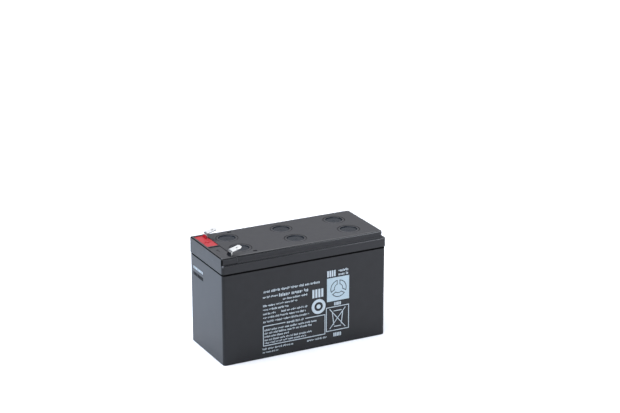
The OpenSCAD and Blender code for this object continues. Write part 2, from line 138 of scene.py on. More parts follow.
def pick_edges(obj: bpy.types.Object, test: Callable[[Vector, Vector], bool]) -> None:
    """Selects the edges of the piece in edit mode whose two ends, in millimetres, pass test."""
    bpy.ops.mesh.select_mode(type="EDGE")
    bpy.ops.mesh.select_all(action="DESELECT")
    mesh = bmesh.from_edit_mesh(obj.data)
    for edge in mesh.edges:
        a, b = (v.co / MM for v in edge.verts)
        edge.select_set(test(a, b))
    bmesh.update_edit_mesh(obj.data)


def pick_faces(obj: bpy.types.Object, test: Callable[[Vector, Vector], bool]) -> None:
    """Selects the faces of the piece in edit mode whose middle, in millimetres, and normal pass test."""
    bpy.ops.mesh.select_mode(type="FACE")
    bpy.ops.mesh.select_all(action="DESELECT")
    mesh = bmesh.from_edit_mesh(obj.data)
    for face in mesh.faces:
        face.select_set(test(face.calc_center_median() / MM, face.normal))
    bmesh.update_edit_mesh(obj.data)


def near(a: float, b: float, reach: float = 0.02) -> bool:
    """Whether two lengths in millimetres agree within reach."""
    return abs(a - b) < reach


def upright(a: Vector, b: Vector) -> bool:
    """Whether an edge stands upright and is longer than a rounding's short edges."""
    return near(a.x, b.x) and near(a.y, b.y) and abs(a.z - b.z) > 2.0


def level(z: float) -> Callable[[Vector, Vector], bool]:
    """A test for edges that lie at the height z, in millimetres."""
    return lambda a, b: near(a.z, z) and near(b.z, z)


def facing_up(z: float) -> Callable[[Vector, Vector], bool]:
    """A test for faces that look up at the height z, in millimetres."""
    return lambda middle, normal: near(middle.z, z) and normal.z > 0.9


def round_edges(width: float, steps: int) -> None:
    """Rounds the selected edges in edit mode with a radius of width millimetres."""
    bpy.ops.mesh.bevel(offset=width * MM, segments=steps, profile=0.5, affect="EDGES", clamp_overlap=True)


def draw_out(along: Point) -> None:
    """Extrudes the selected faces in edit mode by a move in millimetres."""
    move = tuple(v * MM for v in along)
    bpy.ops.mesh.extrude_region_move(TRANSFORM_OT_translate={"value": move})


def soft_block(
    name: str, low: Point, high: Point, corner: float, upper: float = 0.0, lower: float = 0.0, steps: int = 5
) -> bpy.types.Object:
    """A block with rounded upright corners and, where given, rounded upper and lower edges.

    Args:
        name: The object's name.
        low: Lowest corner, in millimetres.
        high: Highest corner, in millimetres.
        corner: Radius of the upright corners, in millimetres.
        upper: Radius of the upper edge, in millimetres, or 0.
        lower: Radius of the lower edge, in millimetres, or 0.
        steps: Segments of those two edges; 1 gives a chamfer.

    Returns:
        The shaped object.
    """
    obj = block(name, low, high)
    bpy.ops.object.mode_set(mode="EDIT")
    pick_edges(obj, upright)
    round_edges(corner, 10)
    for z, radius in ((high[2], upper), (low[2], lower)):
        if radius:
            pick_edges(obj, level(z))
            round_edges(radius, steps)
    bpy.ops.object.mode_set(mode="OBJECT")
    return obj


def merge(objs: Iterable[bpy.types.Object]) -> bpy.types.Object:
    """Joins several objects that don't touch into the first one."""
    objs = list(objs)
    bpy.ops.object.select_all(action="DESELECT")
    for obj in objs:
        obj.select_set(True)
    bpy.context.view_layer.objects.active = objs[0]
    if len(objs) > 1:
        bpy.ops.object.join()
    return bpy.context.active_object


def copies(obj: bpy.types.Object, moves: Iterable[Point]) -> list[bpy.types.Object]:
    """Copies a piece, each copy with its own mesh.

    Args:
        obj: The piece to copy.
        moves: The move of each copy from the original, in millimetres.

    Returns:
        The original, followed by its copies.
    """
    made = [obj]
    for move in moves:
        select_only(obj)
        bpy.ops.object.duplicate(linked=False)
        copy = bpy.context.active_object
        copy.location = [v * MM for v in move]
        settle(copy)
        made.append(copy)
    return made


def finish_modifier(obj: bpy.types.Object, kind: str, **settings: object) -> None:
    """Adds a modifier of that kind with its settings and applies it."""
    modifier = obj.modifiers.new(kind.title(), kind)
    for key, value in settings.items():
        setattr(modifier, key, value)
    select_only(obj)
    bpy.ops.object.modifier_apply(modifier=modifier.name)


def combine(obj: bpy.types.Object, tool: bpy.types.Object, how: Boolean) -> None:
    """Cuts or joins tool into obj and deletes the tool."""
    finish_modifier(obj, "BOOLEAN", operation=how.value, solver="EXACT", object=tool)
    bpy.data.objects.remove(tool, do_unlink=True)


def soften(obj: bpy.types.Object, width: float, steps: int = 2, angle: float = 50.0) -> None:
    """Takes the sharpness off the piece's edges, as a mould or a burnishing drum leaves them.

    Args:
        obj: The piece.
        width: Width of the softened edge, in millimetres.
        steps: Segments across it.
        angle: Least angle of an edge that is softened, in degrees.
    """
    finish_modifier(
        obj, "BEVEL", width=width * MM, segments=steps, limit_method="ANGLE",
        angle_limit=math.radians(angle), use_clamp_overlap=True, miter_outer="MITER_ARC",
    )


def smooth(obj: bpy.types.Object, angle: float = 40.0) -> None:
    """Shades the piece smooth below an angle in degrees, its flat faces kept flat."""
    select_only(obj)
    bpy.ops.object.shade_smooth_by_angle(angle=math.radians(angle))
    finish_modifier(obj, "WEIGHTED_NORMAL", keep_sharp=True, weight=80)


def seat(obj: bpy.types.Object, name: str, slot: str, *nodes: str) -> bpy.types.Object:
    """Names a finished piece, puts it on the body and lets it stand for its CAD nodes.

    Args:
        obj: The finished piece.
        name: Its name.
        slot: Not used.
        nodes: The CAD nodes that it stands for.

    Returns:
        The piece.
    """
    obj.name = name
    obj.data.name = name
    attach(obj, BODY)
    if nodes:
        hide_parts(*nodes)
    triangles = sum(len(p.vertices) - 2 for p in obj.data.polygons)
    log.info("%s: %d triangles", name, triangles)
    return obj


def dress(obj: bpy.types.Object, *materials: bpy.types.Material) -> None:
    """Gives the piece its materials, in slot order."""
    obj.data.materials.clear()
    for material in materials:
        obj.data.materials.append(material)


def paint(obj: bpy.types.Object, slot: int, test: Callable[[Vector, Vector], bool]) -> None:
    """Gives the faces that pass test the material in that slot.

    Args:
        obj: The dressed piece.
        slot: The material's slot.
        test: A test on a face's middle, in millimetres, and its normal.
    """
    select_only(obj)
    obj.active_material_index = slot
    bpy.ops.object.mode_set(mode="EDIT")
    pick_faces(obj, test)
    bpy.ops.object.material_slot_assign()
    bpy.ops.object.mode_set(mode="OBJECT")


# Materials


def linear(colour: str) -> tuple[float, float, float, float]:
    """Turns an sRGB hex colour such as "#3a3b40" to linear red, green, blue and alpha."""
    channels = [int(colour[i : i + 2], 16) / 255 for i in (1, 3, 5)]
    r, g, b = (c / 12.92 if c <= 0.04045 else ((c + 0.055) / 1.055) ** 2.4 for c in channels)
    return (r, g, b, 1.0)


def add_node(
    tree: bpy.types.NodeTree, kind: str, inputs: dict | None = None, **settings: object
) -> bpy.types.Node:
    """Adds a shader node.

    Args:
        tree: The node tree.
        kind: The node's Blender name.
        inputs: A value, or the output of another node to link, for each input name or index.
        settings: The node's own settings.

    Returns:
        The new node.
    """
    new = tree.nodes.new(kind)
    for key, value in settings.items():
        setattr(new, key, value)
    for key, value in (inputs or {}).items():
        if isinstance(value, bpy.types.NodeSocket):
            tree.links.new(value, new.inputs[key])
        else:
            new.inputs[key].default_value = value
    return new


def per_mm(size: float) -> float:
    """The scale of a texture whose features are size millimetres, on coordinates in metres."""
    return 1.0 / (size * MM)


@dataclass(frozen=True)
class Finish:
    """A material with a fine bump, an uneven gloss and a slow drift of its tone.

    Attributes:
        name: The material's name, after what the real one is.
        colour: Colour of the clean surface, sRGB hex.
        drift: Colour of its paler or worn places, sRGB hex.
        roughness: Mean roughness.
        gloss_range: How far the roughness strays each way.
        grain: Size of the surface grain, in millimetres.
        grain_depth: Depth of the grain, in millimetres.
        wave: Size of the slow waves in the surface, in millimetres.
        wave_depth: Depth of the slow waves, in millimetres.
        metallic: 1 for a bare metal.
        ior: Index of refraction of a plastic, resin or ink.
    """

    name: str
    colour: str
    drift: str
    roughness: float = 0.4
    gloss_range: float = 0.05
    grain: float = 0.6
    grain_depth: float = 0.004
    wave: float = 18.0
    wave_depth: float = 0.02
    metallic: float = 0.0
    ior: float = 1.5

    def build(self) -> bpy.types.Material:
        """Builds the material.

        Returns:
            The new material.
        """
        material = bpy.data.materials.new(self.name)
        material.use_nodes = True
        tree = material.node_tree
        tree.nodes.clear()
        place = add_node(tree, "ShaderNodeTexCoord").outputs["Object"]
        slow, patchy, fine = (
            add_node(
                tree, "ShaderNodeTexNoise",
                {"Vector": place, "Scale": per_mm(size), "Detail": detail, "Roughness": 0.55},
            ).outputs["Fac"]
            for size, detail in ((self.wave, 1.0), (self.wave * 0.4, 5.0), (self.grain, 2.0))
        )
        gloss = add_node(
            tree, "ShaderNodeMapRange",
            {"Value": patchy, "From Min": 0.3, "From Max": 0.7,
             "To Min": self.roughness - self.gloss_range, "To Max": self.roughness + self.gloss_range},
        )
        waves = add_node(
            tree, "ShaderNodeBump",
            {"Height": slow, "Strength": 1.0, "Distance": self.wave_depth * MM},
        )
        skin = add_node(
            tree, "ShaderNodeBump",
            {"Height": fine, "Strength": 1.0, "Distance": self.grain_depth * MM,
             "Normal": waves.outputs["Normal"]},
        )
        shader = add_node(
            tree, "ShaderNodeBsdfPrincipled",
            {
                "Base Color": self.tone(tree, place, patchy),
                "Roughness": gloss.outputs["Result"],
                "Metallic": self.metallic,
                "Normal": self.relief(tree, place, skin.outputs["Normal"]),
                **({} if self.metallic else {"IOR": self.ior}),
            },
        )
        self.extra(shader)
        add_node(tree, "ShaderNodeOutputMaterial", {"Surface": shader.outputs[0]})
        material.diffuse_color = linear(self.colour)
        return material

    def tone(
        self, tree: bpy.types.NodeTree, place: bpy.types.NodeSocket, patchy: bpy.types.NodeSocket
    ) -> bpy.types.NodeSocket:
        """Colour that drifts between the clean and the paler tone with the patchy noise."""
        mix = add_node(tree, "ShaderNodeValToRGB", {"Fac": patchy})
        mix.color_ramp.elements[0].position = 0.35
        mix.color_ramp.elements[0].color = linear(self.colour)
        mix.color_ramp.elements[1].position = 0.75
        mix.color_ramp.elements[1].color = linear(self.drift)
        return mix.outputs["Color"]

    def relief(
        self, tree: bpy.types.NodeTree, place: bpy.types.NodeSocket, skin: bpy.types.NodeSocket
    ) -> bpy.types.NodeSocket:
        """Normal bent by waves and grain, which a finish with more relief adds to."""
        return skin

    def extra(self, shader: bpy.types.Node) -> None:
        """Sets what only some finishes have, straight on the shader."""


@dataclass(frozen=True)
class CornerGlintAbs(Finish):
    """Moulded ABS with paler flecks painted at its outer corners: a painted highlight.

    Attributes:
        half: Half length and half width of the outside, in millimetres.
        glint_z: Height of the corners that carry the painted highlight, in millimetres.
        reach: How far the painted highlight goes from each corner, in millimetres.
        glint_colour: Colour of the painted highlight, sRGB hex.
    """

    half: tuple[float, float] = (75.5, 32.5)
    glint_z: float = 0.0
    reach: float = 1.6
    glint_colour: str = "#c3c9d2"

    def tone(
        self, tree: bpy.types.NodeTree, place: bpy.types.NodeSocket, patchy: bpy.types.NodeSocket
    ) -> bpy.types.NodeSocket:
        """Adds paler flecks, a painted highlight, to the plain colour where the outer corners stick out."""
        base = super().tone(tree, place, patchy)
        axes = add_node(tree, "ShaderNodeSeparateXYZ", {0: place})
        # Painted highlight: paler flecks near the outer corners at the given height.
        glint_mask = add_node(
            tree, "ShaderNodeMapRange", {"Value": patchy, "From Min": 0.34, "From Max": 0.48}
        ).outputs["Result"]
        for axis, centre, far in (("X", 0.0, self.half[0]), ("Y", 0.0, self.half[1]), ("Z", self.glint_z, 0.0)):
            offset = add_node(tree, "ShaderNodeMath", {0: axes.outputs[axis], 1: -centre * MM}, operation="ADD")
            away = add_node(tree, "ShaderNodeMath", {0: offset.outputs[0]}, operation="ABSOLUTE")
            close = add_node(
                tree, "ShaderNodeMapRange",
                {"Value": away.outputs[0], "From Min": abs(far - self.reach) * MM, "From Max": far * MM},
            )
            glint_mask = add_node(tree, "ShaderNodeMath", {0: glint_mask, 1: close.outputs[0]}, operation="MULTIPLY").outputs[0]
        mix = add_node(
            tree, "ShaderNodeMix", {"Factor": glint_mask, "A": base, "B": linear(self.glint_colour)}, data_type="RGBA"
        )
        return mix.outputs["Result"]


# Injection-moulded black ABS from a finely spark-eroded mould: dark, and a satin sheen that
# carries all of what the eye sees. The real grain is 0.1 mm, drawn at 0.5 mm so that it shows.
# Its outer corners at the foot carry paler flecks: a painted highlight.
CASE_ABS = CornerGlintAbs(
    "moulded_abs_case", "#0e0f12", "#131417", roughness=0.3, gloss_range=0.02,
    grain=0.5, grain_depth=0.003, wave=26.0, wave_depth=0.04, ior=1.36,
)
# The lid's band corners carry paler flecks: a painted highlight.
LID_ABS = CornerGlintAbs(
    "moulded_abs_lid", "#111215", "#17171a", roughness=0.34, gloss_range=0.03,
    grain=0.5, grain_depth=0.004, wave=18.0, wave_depth=0.02, ior=1.38, glint_z=86.8,
)
# The mould's own roundings are left bright: the same ABS with a closer gloss, and a darker tone painted on as shade
# for the dark lines along the edges.
SHADED_EDGE_ABS = CornerGlintAbs(
    "glossy_abs_edge_painted_shade", "#0a0b0d", "#0d0e10", roughness=0.16, gloss_range=0.02,
    grain=0.8, grain_depth=0.001, wave=16.0, wave_depth=0.01, ior=1.6, glint_z=86.8,
)
# Valve covers, pressed in and welded: the same ABS from a polished mould, so a bluer, darker gloss.
COVER_ABS = Finish(
    "polished_abs_cover", "#14191f", "#181d23", roughness=0.27, gloss_range=0.03,
    grain=0.8, grain_depth=0.002, wave=9.0, wave_depth=0.02, ior=1.2,
)
# Black solvent cement between case and lid: sunk, matt and nearly lightless. It is also laid on the seam's
# roundings, where it is painted shade that widens the gap's shadow. On the terminal block's upright end corners it
# is painted shade alone.
CEMENT_AND_SHADE = Finish(
    "black_cement_and_painted_shade", "#030303", "#060607", roughness=0.75, gloss_range=0.1,
    grain=0.7, grain_depth=0.05, wave=6.0, wave_depth=0.05, ior=1.18,
)


@dataclass(frozen=True)
class EpoxyFill(Finish):
    """Poured epoxy, which levels itself and cures to a glassy, slightly wavy skin."""

    glow: float = 0.0

    def extra(self, shader: bpy.types.Node) -> None:
        """Lets a little light through pigmented resin."""
        shader.inputs["Subsurface Weight"].default_value = self.glow
        shader.inputs["Subsurface Radius"].default_value = (0.6 * MM, 0.1 * MM, 0.1 * MM)
        shader.inputs["Subsurface Scale"].default_value = 1.0


RED_EPOXY = EpoxyFill(
    "red_epoxy_fill", "#9c151d", "#a61e26", roughness=0.4, gloss_range=0.06,
    grain=1.4, grain_depth=0.015, wave=5.0, wave_depth=0.04, ior=1.33, glow=0.1,
)
BLACK_EPOXY = EpoxyFill(
    "black_epoxy_fill", "#131316", "#1a1a1d", roughness=0.34, gloss_range=0.06,
    grain=1.4, grain_depth=0.015, wave=5.0, wave_depth=0.04, ior=1.44,
)
# Dull tin plate over brass, rolled and barrel-finished: a bright silvery white with a soft sheen.
TIN_PLATE = Finish(
    "tin_plated_brass", "#dddcd7", "#cfcec9", roughness=0.4, gloss_range=0.05,
    grain=0.35, grain_depth=0.001, wave=3.0, wave_depth=0.003, metallic=1.0,
)
# Gravity-cast lead alloy: blue-grey, dulled by its oxide, with a coarse chill skin.
CAST_LEAD = Finish(
    "cast_lead", "#8b8d92", "#6f7277", roughness=0.48, gloss_range=0.1,
    grain=0.9, grain_depth=0.03, wave=4.0, wave_depth=0.06, metallic=1.0,
)
# Moulded EPDM rubber: matt black with a faint bloom.
CAP_RUBBER = Finish(
    "moulded_epdm_rubber", "#161617", "#2a2a2b", roughness=0.62, gloss_range=0.08,
    grain=0.4, grain_depth=0.01, wave=5.0, wave_depth=0.02, ior=1.52,
)
# Absorbent glass felt: white, matt and fibrous. Fibres are 2 um, drawn as 0.4 mm tufts.
GLASS_FELT = Finish(
    "absorbent_glass_felt", "#e8e8e4", "#d6d7d2", roughness=0.9, gloss_range=0.05,
    grain=0.4, grain_depth=0.08, wave=6.0, wave_depth=0.15, ior=1.5,
)
# Pad-printed ink: thin, matt and slightly patchy over the grain of the plastic.
PALE_INK = Finish(
    "pad_ink_pale_grey", "#b4bfc5", "#a4b1b8", roughness=0.5, gloss_range=0.08,
    grain=0.5, grain_depth=0.003, wave=3.0, wave_depth=0.01, ior=1.5,
)
FIELD_INK = Finish(
    "pad_ink_pale_blue", "#a4b6be", "#98abb4", roughness=0.5, gloss_range=0.08,
    grain=0.5, grain_depth=0.003, wave=3.0, wave_depth=0.01, ior=1.5,
)
STAMP_INK = Finish(
    "ink_jet_pale_grey", "#cdd8dd", "#aebcc4", roughness=0.55, gloss_range=0.08,
    grain=0.5, grain_depth=0.003, wave=3.0, wave_depth=0.01, ior=1.5,
)
DARK_INK = Finish(
    "ink_jet_dark", "#050506", "#0c0c0e", roughness=0.6, gloss_range=0.08,
    grain=0.5, grain_depth=0.003, wave=3.0, wave_depth=0.01, ior=1.2,
)


@dataclass(frozen=True)
class PastedPlate(Finish):
    """A battery plate: active paste pressed into a cast grid whose bars show as faint ridges.

    Attributes:
        bar_pitch: Spacing of the grid's bars, in millimetres.
        bar_depth: Height of the ridges, in millimetres.
    """

    bar_pitch: float = 5.5
    bar_depth: float = 0.12

    def relief(
        self, tree: bpy.types.NodeTree, place: bpy.types.NodeSocket, skin: bpy.types.NodeSocket
    ) -> bpy.types.NodeSocket:
        """Adds the grid's ridges, across and along, to the paste's grain."""
        base = skin
        for axis in ("X", "Z"):
            bars = add_node(
                tree, "ShaderNodeTexWave",
                {"Vector": place, "Scale": per_mm(self.bar_pitch) / math.tau * 2, "Distortion": 0.0},
                wave_type="BANDS", bands_direction=axis,
            )
            bump = add_node(
                tree, "ShaderNodeBump",
                {"Height": bars.outputs["Fac"], "Strength": 0.6,
                 "Distance": self.bar_depth * MM, "Normal": base},
            )
            base = bump.outputs["Normal"]
        return base


# Cured lead dioxide paste: dark brown, matt and crumbly.
POSITIVE_PASTE = PastedPlate(
    "lead_dioxide_plate", "#4a382e", "#5f4a3d", roughness=0.8, gloss_range=0.08,
    grain=0.5, grain_depth=0.06, wave=7.0, wave_depth=0.1, ior=1.6,
)
# Spongy lead paste: mid grey with a dull metallic gleam.
NEGATIVE_PASTE = PastedPlate(
    "spongy_lead_plate", "#6c6f73", "#84878b", roughness=0.65, gloss_range=0.1,
    grain=0.5, grain_depth=0.05, wave=7.0, wave_depth=0.1, metallic=1.0,
)


# Sub-assemblies


@dataclass
class Cells:
    """The six cells' places, which case and lid share. Cell k runs along +Y, then back along -Y."""

    length: float = 47.2667
    width: float = 28.7
    partition: float = 1.6
    columns: tuple[int, ...] = (-1, 0, 1, 1, 0, -1)
    rows: tuple[int, ...] = (1, 1, 1, -1, -1, -1)

    def middles(self) -> list[tuple[float, float]]:
        """Middles of the six cells in plan, in millimetres."""
        step, aside = self.length + self.partition, (self.width + self.partition) / 2
        return [(c * step, r * aside) for c, r in zip(self.columns, self.rows)]

    def voids(self, name: str, gap: float, z0: float, z1: float) -> bpy.types.Object:
        """Six blocks, one for each cell's hollow.

        Args:
            name: The object's name.
            gap: How far each block stays off the cell's walls, in millimetres.
            z0: Lower end, in millimetres.
            z1: Upper end, in millimetres.

        Returns:
            One object with the six blocks.
        """
        half_l, half_w = self.length / 2 - gap, self.width / 2 - gap
        middles = self.middles()
        x, y = middles[0]
        first = block(name, (x - half_l, y - half_w, z0), (x + half_l, y + half_w, z1))
        return merge(copies(first, [(cx - x, cy - y, 0) for cx, cy in middles[1:]]))


@dataclass
class CaseShell:
    """The moulded container: six cells, and a tongue round them that enters the lid."""

    cells: Cells
    wall: float = 2.6
    corner: float = 2.5
    foot: float = 0.8
    seam_depth: float = 0.9
    seam_z: float = 78.3
    weld_radius: float = 3.25
    weld_z: float = 75.05
    weld_inset: float = 4.9
    mouth: float = 0.3

    def build(self) -> bpy.types.Object:
        """Models the container.

        Returns:
            The finished piece.
        """
        low, high = (tuple(v / MM for v in corner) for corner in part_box("container"))
        case = soft_block("case_shell", low, (high[0], high[1], self.seam_z), self.corner, lower=self.foot)
        bpy.ops.object.mode_set(mode="EDIT")
        pick_edges(case, level(self.seam_z))
        round_edges(self.mouth, 2)
        pick_faces(case, facing_up(self.seam_z))
        bpy.ops.mesh.inset(thickness=(self.seam_depth - self.mouth) * MM)
        draw_out((0, 0, high[2] - self.seam_z))
        bpy.ops.object.mode_set(mode="OBJECT")
        combine(case, self.cells.voids("cell_voids", 0.0, self.wall, high[2] + 5), Boolean.CUT)
        combine(case, self.weld_holes(), Boolean.CUT)
        smooth(case)
        dress(case, CASE_ABS.build(), CEMENT_AND_SHADE.build())
        # Near-black on the tongue and the mouth's rounding: the joint's cement, and painted shade that widens the
        # seam's shadow.
        rim_z = self.seam_z - self.mouth
        paint(case, 1, lambda middle, normal: middle.z > rim_z and abs(normal.x) + abs(normal.y) < 1.38)
        return seat(case, "case_shell", "container", "container")

    def weld_holes(self) -> bpy.types.Object:
        """The cutter for the holes through the partitions where the straps are welded."""
        depth = self.cells.partition + 1.0
        middles = self.cells.middles()
        drills = []
        for (x0, y0), (x1, y1) in zip(middles[:-1], middles[1:]):
            drill = disc("weld_drill", (0, 0, -depth / 2), self.weld_radius, depth, 48)
            if near(x0, x1):
                drill.rotation_euler = (math.pi / 2, 0, 0)
                place = (x0 + self.cells.length / 2 - self.weld_inset, 0, self.weld_z)
            else:
                drill.rotation_euler = (0, math.pi / 2, 0)
                place = ((x0 + x1) / 2, y0, self.weld_z)
            drill.location = [v * MM for v in place]
            settle(drill)
            drills.append(drill)
        return merge(drills)


@dataclass
class Valves:
    """Places and sizes of the six vent wells and their welded covers."""

    pitch: float = 50.0
    aside: float = 13.2
    cover_radius: float = 9.2
    cover_height: float = 1.6
    seat_radius: float = 9.5
    well_radius: float = 8.7
    boss_radius: float = 10.5
    well_z: float = 84.0
    well_floor: float = 1.8
    stub_radius: float = 3.4
    stub_height: float = 5.2
    bore_radius: float = 1.6
    dish_radius: float = 7.3
    dish_depth: float = 0.7
    rim: float = 0.4
    gate_radius: float = 1.2
    gate_height: float = 0.08

    def middles(self, cells: Cells) -> list[tuple[float, float]]:
        """Middles of the six valves in plan, in millimetres."""
        return [(c * self.pitch, r * self.aside) for c, r in zip(cells.columns, cells.rows)]

    def spread(self, first: bpy.types.Object, cells: Cells) -> list[bpy.types.Object]:
        """Copies something made at the first valve to the five others."""
        (x, y), *rest = self.middles(cells)
        return copies(first, [(cx - x, cy - y, 0) for cx, cy in rest])

    def bosses(self, cells: Cells, top: float) -> bpy.types.Object:
        """The solid walls round the wells, hanging inside the lid."""
        x, y = self.middles(cells)[0]
        foot = self.well_z - self.well_floor
        boss = disc("well_boss", (x, y, foot), self.boss_radius, top - foot)
        return merge(self.spread(boss, cells))

    def wells(self, cells: Cells, lid_top: float) -> bpy.types.Object:
        """The cutter for seat, well and vent bore, with the stub left standing in the well."""
        x, y = self.middles(cells)[0]
        ledge_z = lid_top - self.cover_height
        cutter = disc("well_cutter", (x, y, self.well_z), self.well_radius, ledge_z - self.well_z)
        bpy.ops.object.mode_set(mode="EDIT")
        pick_faces(cutter, lambda middle, normal: normal.z < -0.9)
        bpy.ops.mesh.inset(thickness=(self.well_radius - self.stub_radius) * MM)
        draw_out((0, 0, self.stub_height))
        bpy.ops.mesh.inset(thickness=(self.stub_radius - self.bore_radius) * MM)
        draw_out((0, 0, -self.stub_height - self.well_floor - 1))
        pick_faces(cutter, facing_up(ledge_z))
        bpy.ops.mesh.extrude_region_move(TRANSFORM_OT_translate={"value": (0, 0, 0)})
        wider = self.seat_radius / self.well_radius
        bpy.ops.transform.resize(
            value=(wider, wider, 1), center_override=(x * MM, y * MM, ledge_z * MM)
        )
        draw_out((0, 0, self.cover_height + 1))
        bpy.ops.object.mode_set(mode="OBJECT")
        return merge(self.spread(cutter, cells))

    def covers(self, cells: Cells, lid_top: float) -> list[bpy.types.Object]:
        """Models one dished cover and copies it to each valve.

        Args:
            cells: The cells' order.
            lid_top: Height of the lid's top, in millimetres.

        Returns:
            The six covers.
        """
        x, y = self.middles(cells)[0]
        foot = (x, y, lid_top - self.cover_height)
        cover = disc("valve_cover", foot, self.cover_radius, self.cover_height, 96)
        bpy.ops.object.mode_set(mode="EDIT")
        pick_edges(cover, level(lid_top))
        round_edges(self.rim, 3)
        pick_faces(cover, facing_up(lid_top))
        bottom = self.dish_radius - self.dish_depth
        bpy.ops.mesh.inset(thickness=(self.cover_radius - self.rim - self.dish_radius) * MM)
        bpy.ops.mesh.inset(thickness=self.dish_depth * MM, depth=-self.dish_depth * MM)
        bpy.ops.mesh.inset(thickness=(bottom - self.gate_radius) * MM)
        draw_out((0, 0, self.gate_height))
        bpy.ops.object.mode_set(mode="OBJECT")
        smooth(cover, 30.0)
        names = [f"vent_disc_{k + 1}" for k in range(6)]
        nodes = [f"valve_cover_{k + 1}" for k in range(6)]
        dress(cover, LID_ABS.build(), COVER_ABS.build())
        inner = self.dish_radius
        paint(cover, 1, lambda middle, normal: math.hypot(middle.x - x, middle.y - y) < inner and normal.z > 0.5)
        made = self.spread(cover, cells)
        return [seat(o, name, "valve_cover", node) for o, name, node in zip(made, names, nodes)]


@dataclass
class Pockets:
    """Sizes of the two terminal pockets and of what stands in them."""

    end_wall: float = 2.2
    middle_wall: float = 1.6
    length: float = 10.2
    width: float = 27.2
    depth: float = 6.8
    floor: float = 1.8
    post_radius: float = 3.05
    pip_radius: float = 1.45
    pip_height: float = 1.5
    post_rise: float = 1.8
    foot_length: float = 6.4
    foot_to_post: float = 3.1

    def edges(self, side: Side, left: float) -> tuple[float, float, float, float]:
        """Low x, high x, low y and high y of a pocket, in millimetres."""
        x0 = left + self.end_wall
        near_y, far_y = self.middle_wall / 2, self.middle_wall / 2 + self.width
        y0, y1 = sorted((side.value * near_y, side.value * far_y))
        return x0, x0 + self.length, y0, y1


@dataclass
class Tab:
    """A flat push-on tab: foot on its post, upright leg, bend, and a blade sloping up to its tip."""

    pockets: Pockets
    width: float = 6.35
    thick: float = 0.8
    leg_x: float = -64.75
    aside: float = 24.0
    rise: float = 2.1
    bend: float = 1.0
    tilt: float = 15.5
    blade: float = 8.6
    tip: float = 1.1
    hole_radius: float = 0.85
    hole_to_tip: float = 3.6
    edge: float = 0.1

    def build(self, side: Side, lid_top: float) -> bpy.types.Object:
        """Models one tab as a strip that is drawn up, bent and drawn out.

        Args:
            side: Which terminal it is.
            lid_top: Height of the lid's top, in millimetres.

        Returns:
            The finished piece.
        """
        y = side.value * self.aside
        floor_z = lid_top - self.pockets.depth + self.pockets.post_rise
        bend_z = lid_top + self.rise
        y0, y1 = y - self.width / 2, y + self.width / 2
        x0, x1 = self.leg_x, self.leg_x + self.thick
        tab = block("tab", (x0, y0, floor_z), (x1, y1, floor_z + self.thick))
        bpy.ops.object.mode_set(mode="EDIT")
        pick_faces(tab, lambda middle, normal: normal.x < -0.9)
        draw_out((-self.pockets.foot_length, 0, 0))
        pick_faces(tab, lambda middle, normal: normal.z > 0.9 and middle.x > x0)
        draw_out((0, 0, bend_z - floor_z - self.thick))
        centre = ((x1 + self.bend) * MM, y * MM, bend_z * MM)
        turn = math.radians(90 - self.tilt)
        bpy.ops.mesh.spin(steps=10, angle=-turn, center=centre, axis=(0, 1, 0))
        slope = math.radians(self.tilt)
        draw_out((self.blade * math.cos(slope), 0, self.blade * math.sin(slope)))
        self.chamfer_tip(tab)
        bpy.ops.mesh.select_all(action="SELECT")
        bpy.ops.mesh.remove_doubles(threshold=0.001 * MM)
        bpy.ops.mesh.normals_make_consistent(inside=False)
        bpy.ops.object.mode_set(mode="OBJECT")
        combine(tab, self.punches(y, floor_z, bend_z), Boolean.CUT)
        soften(tab, self.edge, 2, 40.0)
        smooth(tab, 35.0)
        word = side.name.lower()
        return seat(tab, f"{word}_push_on_tab", "tab_metal", f"{word}_tab")

    def chamfer_tip(self, tab: bpy.types.Object) -> None:
        """Cuts the blade's two tip corners at 45 degrees, in edit mode."""
        slope = math.radians(self.tilt)
        high = max(v.co.z for v in bmesh.from_edit_mesh(tab.data).verts) / MM
        low = high - self.thick * math.cos(slope) - 0.05
        pick_edges(
            tab,
            lambda a, b: near(a.y, b.y) and min(a.z, b.z) > low and near((a - b).length, self.thick)
            and max(a.x, b.x) > self.leg_x + self.blade,
        )
        bpy.ops.mesh.bevel(offset=self.tip * MM, segments=1, affect="EDGES")

    def punches(self, y: float, floor_z: float, bend_z: float) -> bpy.types.Object:
        """The cutter for the latch hole in the blade and the pip's hole in the foot."""
        slope = math.radians(self.tilt)
        reach = self.blade - self.hole_to_tip
        middle = self.bend + self.thick / 2
        hole = disc("latch_punch", (0, 0, -1.5), self.hole_radius, 3.0, 32)
        hole.rotation_euler = (0, -slope, 0)
        hole.location = (
            (self.leg_x + self.thick + self.bend + reach * math.cos(slope) - middle * math.sin(slope)) * MM,
            y * MM,
            (bend_z + reach * math.sin(slope) + middle * math.cos(slope)) * MM,
        )
        settle(hole)
        post_x = self.leg_x - self.pockets.foot_to_post
        pip = disc("pip_punch", (post_x, y, floor_z - 1), self.pockets.pip_radius, self.thick + 2, 32)
        return merge([hole, pip])


